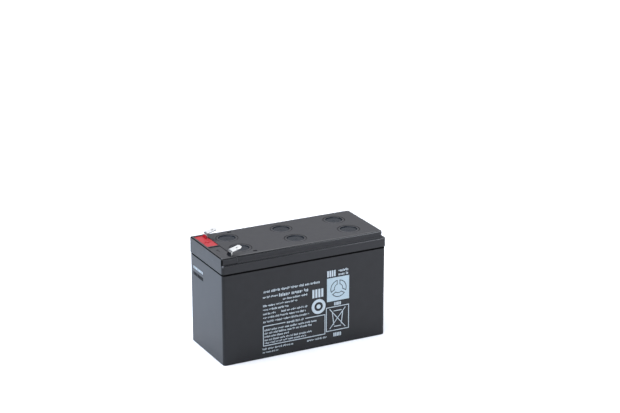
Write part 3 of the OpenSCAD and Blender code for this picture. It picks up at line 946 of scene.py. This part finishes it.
@dataclass
class ResinFill:
    """The epoxy that seals a terminal pocket, with the polarity mark pressed into it."""

    pockets: Pockets
    tab: Tab
    drop: float = 0.4
    lip: float = 0.7
    sink: float = 0.12
    mark_length: float = 5.5
    mark_width: float = 1.4
    mark_depth: float = 0.4
    mark_x: float = -69.0
    mark_y: float = 11.0
    room: float = 0.02
    climb: float = 2.0
    climb_reach: float = 1.6
    climb_round: float = 0.6

    def build(self, side: Side, left: float, lid_top: float) -> bpy.types.Object:
        """Models one fill.

        Args:
            side: Which terminal it is.
            left: The lid's terminal end along X, in millimetres.
            lid_top: Height of the lid's top, in millimetres.

        Returns:
            The finished piece.
        """
        x0, x1, y0, y1 = self.pockets.edges(side, left)
        top = lid_top - self.drop
        fill = block("fill", (x0, y0, lid_top - self.pockets.depth), (x1, y1, top))
        bpy.ops.object.mode_set(mode="EDIT")
        pick_faces(fill, facing_up(top))
        for share in (0.3, 0.7):
            bpy.ops.mesh.inset(thickness=self.lip * share * MM, depth=-self.sink * share * MM)
        bpy.ops.object.mode_set(mode="OBJECT")
        combine(fill, self.climbing(side, top), Boolean.JOIN)
        combine(fill, self.terminal(side, lid_top), Boolean.CUT)
        combine(fill, self.mark(side, top), Boolean.CUT)
        soften(fill, 0.08, 2, 50.0)
        smooth(fill, 35.0)
        word = side.name.lower()
        return seat(fill, f"{word}_epoxy", f"{word}_resin", f"{word}_resin")

    def climbing(self, side: Side, top: float) -> bpy.types.Object:
        """The resin that has crept up the outer face of the tab's leg and hardened as a wedge."""
        tab = self.tab
        y, half = side.value * tab.aside, tab.width / 2
        low = (tab.leg_x - self.climb_reach, y - half, top - self.lip)
        wedge = block("climb", low, (tab.leg_x, y + half, top + self.climb))
        outer = level(top + self.climb)
        bpy.ops.object.mode_set(mode="EDIT")
        pick_edges(wedge, lambda a, b: outer(a, b) and near(a.x, low[0]) and near(b.x, low[0]))
        bpy.ops.transform.translate(value=(0, 0, (-self.climb - self.sink) * MM))
        pick_edges(wedge, lambda a, b: near(a.y, b.y) and abs(a.x - b.x) > 1 and abs(a.z - b.z) > 1)
        round_edges(self.climb_round, 4)
        bpy.ops.object.mode_set(mode="OBJECT")
        return wedge

    def terminal(self, side: Side, lid_top: float) -> bpy.types.Object:
        """The cutter for the room of post, pip, foot and leg."""
        pockets, tab = self.pockets, self.tab
        y = side.value * tab.aside
        floor_z = lid_top - pockets.depth
        step_z = floor_z + pockets.post_rise
        post_x = tab.leg_x - pockets.foot_to_post
        half = tab.width / 2 + self.room
        cutter = disc("post_room", (post_x, y, floor_z - 1), pockets.post_radius, pockets.post_rise + 1.2, 48)
        foot = block(
            "foot_room",
            (tab.leg_x - pockets.foot_length - self.room, y - half, step_z - self.room),
            (tab.leg_x + tab.thick + self.room, y + half, step_z + tab.thick + self.room),
        )
        leg = block(
            "leg_room",
            (tab.leg_x - self.room, y - half, step_z),
            (tab.leg_x + tab.thick + self.room, y + half, lid_top + 1),
        )
        pip = disc("pip_room", (post_x, y, step_z), pockets.pip_radius, pockets.pip_height, 32)
        for part in (foot, leg, pip):
            combine(cutter, part, Boolean.JOIN)
        return cutter

    def mark(self, side: Side, top: float) -> bpy.types.Object:
        """The cutter for the polarity mark: a plus on the red fill and a minus on the black one."""
        x, y = self.mark_x, side.value * self.mark_y
        half_l, half_w = self.mark_length / 2, self.mark_width / 2
        low, high = top - self.mark_depth, top + 1
        arm = block("mark", (x - half_w, y - half_l, low), (x + half_w, y + half_l, high))
        if side is Side.POSITIVE:
            cross = block("cross", (x - half_l, y - half_w, low), (x + half_l, y + half_w, high))
            combine(arm, cross, Boolean.JOIN)
        return arm


@dataclass
class LidMoulding:
    """The lid: a band over the joint, a raised top, and a block round the two terminal pockets."""

    cells: Cells
    valves: Valves
    pockets: Pockets
    tab: Tab
    skirt_z: float = 79.3
    band_z: float = 87.2
    deck_z: float = 90.8
    tongue_z: float = 82.8
    corner: float = 2.5
    band_round: float = 0.8
    top_round: float = 1.2
    ledge: float = 2.4
    ledge_end: float = 2.2
    block_length: float = 14.7
    block_ledge: float = 1.2
    block_round: float = 1.15
    root: float = 0.8
    overlap: float = 3.0
    hair: float = 0.01
    lip: float = 1.5
    cement: float = 0.1
    groove_inset: float = 0.8
    mouth: float = 0.4
    case_lip: float = 0.4
    plate: float = 2.2
    dimple_x: float = 33.0
    dimple_side: float = 7.5
    dimple_length: float = 4.0
    dimple_width: float = 1.8
    dimple_depth: float = 0.5

    def build(self) -> bpy.types.Object:
        """Models the lid.

        Returns:
            The finished piece.
        """
        low, high = (tuple(v / MM for v in corner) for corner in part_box("lid"))
        left, right, wide, top = low[0], high[0], high[1], high[2]
        lid = self.outside(left, right, wide, top)
        open_gap = self.cement + self.lip
        combine(lid, self.cells.voids("lid_voids", open_gap, self.skirt_z - 1, self.deck_z), Boolean.CUT)
        combine(lid, self.groove(right - self.case_lip, wide - self.case_lip), Boolean.CUT)
        combine(lid, self.valves.bosses(self.cells, top - self.plate / 2), Boolean.JOIN)
        combine(lid, self.pocket_walls(left, top), Boolean.JOIN)
        combine(lid, self.valves.wells(self.cells, top), Boolean.CUT)
        combine(lid, self.pocket_hollows(left, top), Boolean.CUT)
        combine(lid, self.dimples(left, wide, top), Boolean.CUT)
        smooth(lid, 35.0)
        dress(lid, LID_ABS.build(), SHADED_EDGE_ABS.build(), CEMENT_AND_SHADE.build())
        # The roundings take the edge ABS, whose darker tone is painted shade for the dark edge lines.
        round_z = self.band_z - self.band_round
        paint(lid, 1, lambda middle, normal: middle.z > round_z and 0.08 < abs(normal.z) < 0.995)
        # Near-black on the skirt's underside and lower rounding: the joint's cement, and painted shade that widens
        # the seam's shadow.
        paint(lid, 2, lambda middle, normal: middle.z < self.skirt_z + self.mouth and normal.z < -0.05)
        # Near-black on the terminal block's upright end corners: painted shade for the black strip down the corner.
        paint(
            lid, 2,
            lambda middle, normal: middle.z > self.band_z and middle.x < left + self.top_round
            and normal.x < -0.07 and abs(normal.y) > 0.07 and abs(normal.z) < 0.1,
        )
        return seat(lid, "lid_moulding", "lid", "lid")

    def outside(self, left: float, right: float, wide: float, top: float) -> bpy.types.Object:
        """The lid's solid outer form: band, raised top and terminal block."""
        start = self.band_z - self.band_round
        lid = soft_block(
            "lid_band", (left, -wide, self.skirt_z), (right, wide, self.band_z),
            self.corner, upper=self.band_round, lower=self.mouth,
        )
        raised = soft_block(
            "raised_top", (left + self.overlap, self.ledge - wide, start),
            (right - self.ledge_end, wide - self.ledge, top - self.hair),
            self.corner, upper=self.top_round,
        )
        ends = soft_block(
            "terminal_block", (left + self.hair, self.block_ledge - wide, start + self.hair),
            (left + self.block_length, wide - self.block_ledge, top),
            self.top_round, upper=self.block_round,
        )
        grown = self.root - self.ledge
        root = soft_block(
            "raised_root", (left + self.overlap, -wide - grown, start + self.hair),
            (right - self.ledge_end + self.root, wide + grown, self.band_z + self.root + self.hair),
            self.corner + self.root, upper=self.root + 2 * self.hair, steps=1,
        )
        for part in (root, ends):
            combine(raised, part, Boolean.JOIN)
        combine(lid, raised, Boolean.JOIN)
        return lid

    def groove(self, half_l: float, half_w: float) -> bpy.types.Object:
        """The cutter for the groove that takes the case's tongue and its cement."""
        inset = self.groove_inset
        ring = soft_block(
            "tongue_room", (inset - half_l, inset - half_w, self.skirt_z - 1),
            (half_l - inset, half_w - inset, self.tongue_z), self.corner - inset,
        )
        voids = self.cells.voids("tongue_voids", self.cement, self.skirt_z - 2, self.tongue_z + 1)
        combine(ring, voids, Boolean.CUT)
        return ring

    def pocket_walls(self, left: float, top: float) -> bpy.types.Object:
        """The solid walls and floors round the pockets, hanging inside the lid."""
        pockets = self.pockets
        x0, x1, _, y1 = pockets.edges(Side.POSITIVE, left)
        reach = y1 + pockets.floor / 2
        return block(
            "pocket_walls", (x0 - pockets.end_wall / 2, -reach, top - pockets.depth - pockets.floor),
            (x1 + pockets.floor, reach, top - self.plate / 2),
        )

    def pocket_hollows(self, left: float, top: float) -> bpy.types.Object:
        """The cutter for the two pockets and the post holes in their floors."""
        pockets = self.pockets
        parts = []
        for side in Side:
            x0, x1, y0, y1 = pockets.edges(side, left)
            floor_z = top - pockets.depth
            hollow = block("pocket", (x0, y0, floor_z), (x1, y1, top + 1))
            post_x = self.tab.leg_x - pockets.foot_to_post
            hole = disc(
                "post_hole", (post_x, side.value * self.tab.aside, self.skirt_z - 1),
                pockets.post_radius, floor_z - self.skirt_z + 2, 48,
            )
            combine(hollow, hole, Boolean.JOIN)
            parts.append(hollow)
        return merge(parts)

    def dimples(self, left: float, wide: float, top: float) -> bpy.types.Object:
        """The cutter for the two small gate dimples beside the first valves."""
        half_l, half_w = self.dimple_length / 2, self.dimple_width / 2
        x = left + self.dimple_x
        parts = []
        for sign in (-1, 1):
            y = sign * (wide - self.dimple_side)
            low = (x - half_l, y - half_w, top - self.dimple_depth)
            dimple = block("dimple", low, (x + half_l, y + half_w, top + 2))
            bpy.ops.object.mode_set(mode="EDIT")
            pick_edges(dimple, upright)
            round_edges(half_w * 0.98, 8)
            bpy.ops.object.mode_set(mode="OBJECT")
            parts.append(dimple)
        return merge(parts)


@dataclass(frozen=True)
class Row:
    """A printed row, in layout units from the face's middle and from the print's lower edge.

    Attributes:
        x0: Left end.
        x1: Right end.
        z: Lower edge.
        height: Height of the row.
        stroke: Mean width of a dash, as a share of the row's height.
        even: Whether the dashes stand as even upright bars, not as word-like groups.
    """

    x0: float
    x1: float
    z: float
    height: float = 1.7
    stroke: float = 0.34
    even: bool = False


@dataclass
class FrontPrint:
    """The pale-blue pad print on the long side, as rows of dashes, outlines and fields of colour."""

    ink: float = 0.1
    low_z: float = 4.6
    high_gap: float = 11.8
    seam_z: float = 78.3
    layout: float = 62.0
    line: float = 0.62
    weight: float = 0.74
    seed: int = 12
    strips: tuple[tuple[float, float, float, float], ...] = (
        (29.8, 18.8, 23.0, 50.0), (29.8, 18.8, 23.0, -50.0), (29.8, 25.6, 7.5, 0.0),
        (25.6, 18.6, 11.0, 97.0), (34.0, 18.6, 11.0, 83.0), (29.8, 11.6, 6.5, 0.0),
    )
    square: tuple[float, float, float, float] = (19.8, 40.6, 34.6, 55.4)
    rows: tuple[Row, ...] = (
        Row(-38.6, 14.9, 53, 2.1), Row(-39.3, -25.1, 48.4), Row(-24.6, 3.1, 47.7, 2.8, stroke=0.36),
        Row(-21.1, 2.4, 44.2), Row(-39.3, -7.6, 40.9), Row(-39.3, -16.1, 37.4),
        Row(-39.3, -27.6, 33.8), Row(-22.6, 3.1, 33.8), Row(-39.3, -0.1, 30.4),
        Row(-39.3, 3.1, 26.8), Row(-40.1, -11.6, 2.8), Row(-39.9, -25.6, 0, 1.4),
        Row(1.2, 19.4, 2.6), Row(-17.6, -2.1, 22.8, 1.9), Row(-38.1, 10.4, 19.4),
        Row(-38.1, 5.7, 16.5), Row(-38.1, -15.6, 13.6), Row(-38.1, 5.7, 10.6),
        Row(-38.1, 0.9, 8, 1.5), Row(6.1, 18.3, 40.4, 7.4, stroke=0.25, even=True),
        Row(20.0, 29.6, 56.6, 5.4, stroke=0.26, even=True), Row(30.6, 40.6, 59.8, 2.2, stroke=0.4),
        Row(30.6, 40.6, 56.6, 2.2, stroke=0.4), Row(26.6, 33.6, 30.5, 2.8, stroke=0.32, even=True),
        Row(26.0, 33.4, 2.6, 3.2, stroke=0.32, even=True),
    )

    def build(self) -> bpy.types.Object:
        """Models the print: planes laid out flat, drawn out to the ink's thickness and stood up.

        Returns:
            The finished piece.
        """
        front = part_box("container")[0][1] / MM
        unit = (self.seam_z - self.low_z - self.high_gap) / self.layout
        bpy.ops.object.select_all(action="DESELECT")
        bpy.ops.mesh.primitive_plane_add(size=1)
        sheet = bpy.context.active_object
        bpy.ops.object.mode_set(mode="EDIT")
        bpy.ops.mesh.delete(type="VERT")
        for x0, x1, z0, z1 in self.dashes():
            self.patch(x0, x1, z0, z1)
        self.frame_line(18.9, 40.6, 7.9, 29.6)
        self.open_frame(-39.6, 18.2, 6.2, 24.2, -19.1, -0.6)
        for x, z, length, angle in self.strips:
            self.strip(x, z, length, angle)
        bpy.ops.object.mode_set(mode="OBJECT")
        parts = [sheet, self.ring(11.9, 32.2, 6.5, 4.0), self.ring(11.9, 32.2, 1.9, 0.0), self.field()]
        sheet = merge(parts)
        bpy.ops.object.mode_set(mode="EDIT")
        bpy.ops.mesh.select_all(action="SELECT")
        bpy.ops.mesh.normals_make_consistent(inside=False)
        pick_faces(sheet, lambda middle, normal: normal.z < 0)
        bpy.ops.mesh.flip_normals()
        bpy.ops.mesh.select_all(action="SELECT")
        draw_out((0, 0, self.ink / unit))
        bpy.ops.mesh.select_all(action="SELECT")
        bpy.ops.mesh.normals_make_consistent(inside=False)
        bpy.ops.object.mode_set(mode="OBJECT")
        sheet.scale = (unit, unit, unit)
        sheet.rotation_euler = (math.pi / 2, 0, 0)
        sheet.location = (0, front * MM, self.low_z * MM)
        settle(sheet)
        dress(sheet, PALE_INK.build(), FIELD_INK.build())
        x0, x1, z0, z1 = (v * unit for v in self.square)
        paint(
            sheet, 1,
            lambda middle, normal: x0 < middle.x < x1 and z0 < middle.z - self.low_z < z1,
        )
        return seat(sheet, "side_print", "print_ink", "front_print")

    def dashes(self) -> list[tuple[float, float, float, float]]:
        """Splits each row into dashes: even bars, or words of small dashes of varied width."""
        chance = random.Random(self.seed)
        out = []
        for row in self.rows:
            x = row.x0
            while x < row.x1 - row.height * row.stroke:
                for _ in range(chance.randint(3, 8)):
                    wide = row.height * row.stroke * (1.0 if row.even else self.weight * chance.uniform(0.7, 1.7))
                    low = row.z + chance.choice((0.0, 0.0, 0.0, row.height * 0.28))
                    high = row.z + row.height * chance.choice((1.0, 0.72, 0.72, 0.78))
                    if row.even:
                        low, high = row.z, row.z + row.height
                    if x + wide > row.x1:
                        break
                    out.append((x, x + wide, low, max(high, low + 0.5)))
                    x += wide * 1.5 if row.even else wide + row.height * 0.22
                x += 0.0 if row.even else row.height * 0.42
        return out

    def patch(self, x0: float, x1: float, z0: float, z1: float) -> None:
        """Adds a plane primitive in edit mode between two corners, in layout units."""
        bpy.ops.mesh.primitive_plane_add(
            size=1, location=((x0 + x1) / 2 * MM, (z0 + z1) / 2 * MM, 0)
        )
        bpy.ops.transform.resize(
            value=(x1 - x0, z1 - z0, 1),
            center_override=((x0 + x1) / 2 * MM, (z0 + z1) / 2 * MM, 0),
        )
        bpy.ops.transform.resize(
            value=(MM, MM, 1), center_override=((x0 + x1) / 2 * MM, (z0 + z1) / 2 * MM, 0)
        )

    def frame_line(self, x0: float, x1: float, z0: float, z1: float) -> None:
        """Adds the outline of a rectangle as four strips."""
        line = self.line
        self.patch(x0, x1, z0, z0 + line)
        self.patch(x0, x1, z1 - line, z1)
        self.patch(x0, x0 + line, z0 + line, z1 - line)
        self.patch(x1 - line, x1, z0 + line, z1 - line)

    def open_frame(self, x0: float, x1: float, z0: float, z1: float, gap0: float, gap1: float) -> None:
        """Adds the outline of a rectangle whose top line is open between gap0 and gap1."""
        line = self.line
        self.patch(x0, x1, z0, z0 + line)
        self.patch(x0, gap0, z1 - line, z1)
        self.patch(gap1, x1, z1 - line, z1)
        self.patch(x0, x0 + line, z0 + line, z1 - line)
        self.patch(x1 - line, x1, z0 + line, z1 - line)

    def strip(self, x: float, z: float, length: float, angle: float) -> None:
        """Adds a strip round x, z, turned by angle degrees from level."""
        self.patch(x - length / 2, x + length / 2, z - self.line / 2, z + self.line / 2)
        bpy.ops.transform.rotate(
            value=math.radians(-angle), orient_axis="Z", center_override=(x * MM, z * MM, 0)
        )

    def ring(self, x: float, z: float, outer: float, inner: float) -> bpy.types.Object:
        """A flat ring or, with no inner radius, a flat round field."""
        bpy.ops.object.select_all(action="DESELECT")
        bpy.ops.mesh.primitive_circle_add(
            vertices=64, radius=outer * MM, fill_type="NGON", location=(x * MM, z * MM, 0)
        )
        obj = bpy.context.active_object
        if inner:
            bpy.ops.object.mode_set(mode="EDIT")
            bpy.ops.mesh.select_all(action="SELECT")
            bpy.ops.mesh.inset(thickness=(outer - inner) * MM)
            bpy.ops.mesh.delete(type="FACE")
            bpy.ops.object.mode_set(mode="OBJECT")
        settle(obj)
        return obj

    def field(self) -> bpy.types.Object:
        """The pale square with the dark outlines of three curved segments left free in it."""
        x0, x1, z0, z1 = self.square
        slab = block("field", (x0, z0, -0.5), (x1, z1, 0.5))
        middle = (30.6 * MM, 45.2 * MM, 0)
        for outer, inner in ((7.6, 6.9), (4.2, 3.6)):
            hoop = disc("hoop", (0, 0, -1), outer, 2)
            combine(hoop, disc("core", (0, 0, -2), inner, 4), Boolean.CUT)
            for third in range(3):
                gap = block("gap", (0, -0.9, -2), (outer + 1, 0.9, 2))
                gap.rotation_euler = (0, 0, math.radians(90 + 120 * third))
                settle(gap)
                combine(hoop, gap, Boolean.CUT)
            hoop.location = middle
            settle(hoop)
            combine(slab, hoop, Boolean.CUT)
        for third in range(3):
            for side in (-1.3, 1.3):
                spoke = block("spoke", (3.7, side - 0.35, -1), (7.4, side + 0.35, 1))
                spoke.rotation_euler = (0, 0, math.radians(90 + 120 * third))
                spoke.location = middle
                settle(spoke)
                combine(slab, spoke, Boolean.CUT)
        bpy.ops.object.mode_set(mode="EDIT")
        pick_faces(slab, lambda middle, normal: normal.z < 0.9)
        bpy.ops.mesh.delete(type="FACE")
        bpy.ops.mesh.select_all(action="SELECT")
        bpy.ops.transform.translate(value=(0, 0, -0.5 * MM))
        bpy.ops.object.mode_set(mode="OBJECT")
        return slab


@dataclass
class EndStamp:
    """The ink-jet rows on the terminal end: dashes of fine pale dots, and dark ones below."""

    dashes: int = 7
    step: float = 2.8
    gap: float = 0.7
    height: float = 2.2
    side: float = 6.5
    drop: float = 9.2
    ink: float = 0.1
    seam_z: float = 78.3
    dark_drop: float = 14.2
    dark_height: float = 2.9
    columns: int = 3
    lines: int = 4
    share: float = 0.86
    faint: int = 3
    faint_share: float = 0.72
    bold_share: float = 1.0

    def build(self) -> list[bpy.types.Object]:
        """Models the pale row and the dark row.

        Returns:
            Both pieces.
        """
        pale = self.row(self.drop, self.height, 0, self.dashes, self.share)
        faint = self.row(self.dark_drop, self.dark_height, 0, self.faint, self.faint_share)
        bold = self.row(self.dark_drop, self.dark_height, self.faint, self.dashes - self.faint, self.bold_share)
        return [
            seat(pale, "date_row_pale", "print_ink", "end_stamp"),
            seat(merge([faint, bold]), "date_row_dark", "print_ink"),
        ]

    def row(self, drop: float, height: float, start: int, count: int, share: float) -> bpy.types.Object:
        """One run of dashes along a row.

        Args:
            drop: How far the row's top lies below the joint, in millimetres.
            height: The row's height, in millimetres.
            start: Number of dashes that are left out before it.
            count: Number of its dashes.
            share: Size of a dot, as a share of the dots' spacing.

        Returns:
            The run as one object.
        """
        (x, _, _), (_, back, _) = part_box("container")
        x, back = x / MM, back / MM
        top = self.seam_z - drop
        first = back - self.side - start * self.step
        across, down = (self.step - self.gap) / self.columns, height / self.lines
        dot = block(
            "dot", (x - self.ink, first - across * share, top - down * share), (x, first, top)
        )
        for number, move in (
            (self.columns, (0, -across, 0)), (self.lines, (0, 0, -down)), (count, (0, -self.step, 0)),
        ):
            finish_modifier(
                dot, "ARRAY", count=number, use_relative_offset=False, use_constant_offset=True,
                constant_offset_displace=[v * MM for v in move],
            )
        return dot


class InnerParts:
    """What the case holds, shown by its CAD solids with their own finishes."""

    groups: dict[str, Finish] = {
        "post": CAST_LEAD,
        "weld": CAST_LEAD,
        "vent_cap": CAP_RUBBER,
        "positive_plates": POSITIVE_PASTE,
        "negative_plates": NEGATIVE_PASTE,
        "glass_mats": GLASS_FELT,
    }

    def dress(self) -> None:
        """Gives each CAD node that stays its material."""
        for word, finish in self.groups.items():
            material = finish.build()
            nodes = [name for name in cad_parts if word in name]
            for name in nodes:
                dress(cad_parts[name], material)
            log.info("%s: %d solids in %s", word, len(nodes), finish.name)


@dataclass(frozen=True)
class Softbox:
    """A soft-edged patch of light in the studio's surroundings.

    Attributes:
        azimuth: Its direction from the battery, in degrees from +Y towards +X.
        height: Its height above the horizon, in degrees.
        core: Half width of its even middle, in degrees.
        edge: Half width out to where it has faded away, in degrees.
        strength: Radiance of its middle.
        colour: Its colour, sRGB hex.
    """

    azimuth: float
    height: float
    core: float
    edge: float
    strength: float
    colour: str = "#ffffff"

    def direction(self) -> Vector:
        """Unit vector from the battery to the middle of the patch."""
        a, e = math.radians(self.azimuth), math.radians(self.height)
        return Vector((math.sin(a) * math.cos(e), math.cos(a) * math.cos(e), math.sin(e)))


@dataclass
class Studio:
    """Camera at the photograph's place, a white floor, and soft light."""

    target: Point = (20.48, 0.0, 113.36)
    azimuth: float = -27.364
    elevation: float = 18.717
    distance: float = 1532.24
    lens: float = 106.82
    floor_side: float = 7000.0
    ambient: str = "#54575e"
    boxes: tuple[Softbox, ...] = (
        Softbox(-90, 70, 22, 36, 5.4, "#f2f6ff"),
        Softbox(30, 45, 14, 31, 2.1, "#f8f9ff"),
        Softbox(-25, 26, 20, 34, -0.085),
    )

    def build(self) -> None:
        """Sets up camera, floor, lights and surroundings."""
        self.camera()
        self.floor()
        self.lamp(
            "SPOT", "rear_left", (-420, 420, 900), (-182, 140, 0), 38.0, "#a4caf4",
            spot_size=math.radians(28), spot_blend=1.0, shadow_soft_size=0.12,
        )
        self.lamp(
            "AREA", "right_overhead", (236, -158, 425), (40, -30, 90), 0.36, "#f0f4ff",
            shape="RECTANGLE", size=0.32, size_y=0.35,
        )
        self.lamp(
            "AREA", "right_front", (430, -400, 320), (120, -60, 60), 2.1, "#eef3ff",
            shape="RECTANGLE", size=0.36, size_y=0.3,
        )
        self.surroundings()
        bpy.context.scene.view_settings.view_transform = "Standard"

    def camera(self) -> None:
        """Aims the camera at the target from the photograph's angle."""
        a, e = math.radians(self.azimuth), math.radians(self.elevation)
        back = Vector((math.sin(a) * math.cos(e), -math.cos(a) * math.cos(e), math.sin(e)))
        target = Vector(self.target) * MM
        bpy.ops.object.camera_add(location=target + back * self.distance * MM)
        camera = bpy.context.active_object
        camera.rotation_euler = back.to_track_quat("Z", "Y").to_euler()
        camera.data.lens = self.lens
        camera.data.sensor_width = 36.0
        camera.data.clip_start = 0.01
        camera.data.clip_end = 50.0
        bpy.context.scene.camera = camera

    def floor(self) -> None:
        """Lays the white floor under the battery."""
        bpy.ops.object.select_all(action="DESELECT")
        bpy.ops.mesh.primitive_plane_add(size=self.floor_side * MM)
        floor = bpy.context.active_object
        floor.name = "studio_floor"
        material = bpy.data.materials.new("white_studio_floor")
        material.use_nodes = True
        shader = material.node_tree.nodes["Principled BSDF"]
        shader.inputs["Base Color"].default_value = linear("#f9f9f9")
        shader.inputs["Roughness"].default_value = 0.9
        dress(floor, material)

    def lamp(
        self, kind: str, name: str, place: Point, aim: Point, power: float, colour: str, **settings: object
    ) -> None:
        """Adds a lamp.

        Args:
            kind: Its Blender type, such as "AREA".
            name: Its name.
            place: Where it hangs, in millimetres.
            aim: The point that it faces, in millimetres.
            power: Its power, in watts.
            colour: Its colour, sRGB hex.
            settings: What else its type needs.
        """
        bpy.ops.object.light_add(type=kind, location=[v * MM for v in place])
        lamp = bpy.context.active_object
        lamp.name = name
        lamp.rotation_euler = (Vector(place) - Vector(aim)).to_track_quat("Z", "Y").to_euler()
        lamp.data.energy = power
        lamp.data.color = linear(colour)[:3]
        for key, value in settings.items():
            setattr(lamp.data, key, value)

    def surroundings(self) -> None:
        """A dim room with softboxes as soft-edged patches of light."""
        world = bpy.data.worlds.new("studio")
        bpy.context.scene.world = world
        world.use_nodes = True
        tree = world.node_tree
        tree.nodes.clear()
        ray = add_node(tree, "ShaderNodeTexCoord").outputs["Generated"]
        light = add_node(tree, "ShaderNodeRGB").outputs[0]
        light.default_value = linear(self.ambient)
        for box in self.boxes:
            facing = add_node(
                tree, "ShaderNodeVectorMath", {0: ray, 1: box.direction()}, operation="DOT_PRODUCT"
            ).outputs["Value"]
            share = add_node(
                tree, "ShaderNodeMapRange",
                {"Value": facing, "From Min": math.cos(math.radians(box.edge)),
                 "From Max": math.cos(math.radians(box.core))},
                interpolation_type="SMOOTHSTEP",
            ).outputs["Result"]
            tint = [c * box.strength for c in linear(box.colour)[:3]]
            patch = add_node(tree, "ShaderNodeVectorMath", {0: tint, "Scale": share}, operation="SCALE")
            light = add_node(tree, "ShaderNodeVectorMath", {0: light, 1: patch.outputs[0]}, operation="ADD")
            light = light.outputs[0]
        sky = add_node(tree, "ShaderNodeBackground", {"Color": light, "Strength": 1.0})
        add_node(tree, "ShaderNodeOutputWorld", {"Surface": sky.outputs[0]})


def main() -> None:
    """Builds the battery's pieces in order, dresses them and sets up the studio."""
    logging.basicConfig(level=logging.INFO, format="%(name)s: %(message)s")
    (left, _, _), (_, _, top) = ([v / MM for v in corner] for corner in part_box("lid"))
    cells, valves, pockets = Cells(), Valves(), Pockets()
    tab = Tab(pockets)
    CaseShell(cells).build()
    LidMoulding(cells, valves, pockets, tab).build()
    valves.covers(cells, top)
    tin = TIN_PLATE.build()
    for side, epoxy in ((Side.POSITIVE, RED_EPOXY), (Side.NEGATIVE, BLACK_EPOXY)):
        dress(tab.build(side, top), tin)
        dress(ResinFill(pockets, tab).build(side, left, top), epoxy.build())
    FrontPrint().build()
    pale, dark = EndStamp().build()
    dress(pale, STAMP_INK.build())
    dress(dark, DARK_INK.build())
    InnerParts().dress()
    Studio().build()


if __name__ == "__main__":
    main()
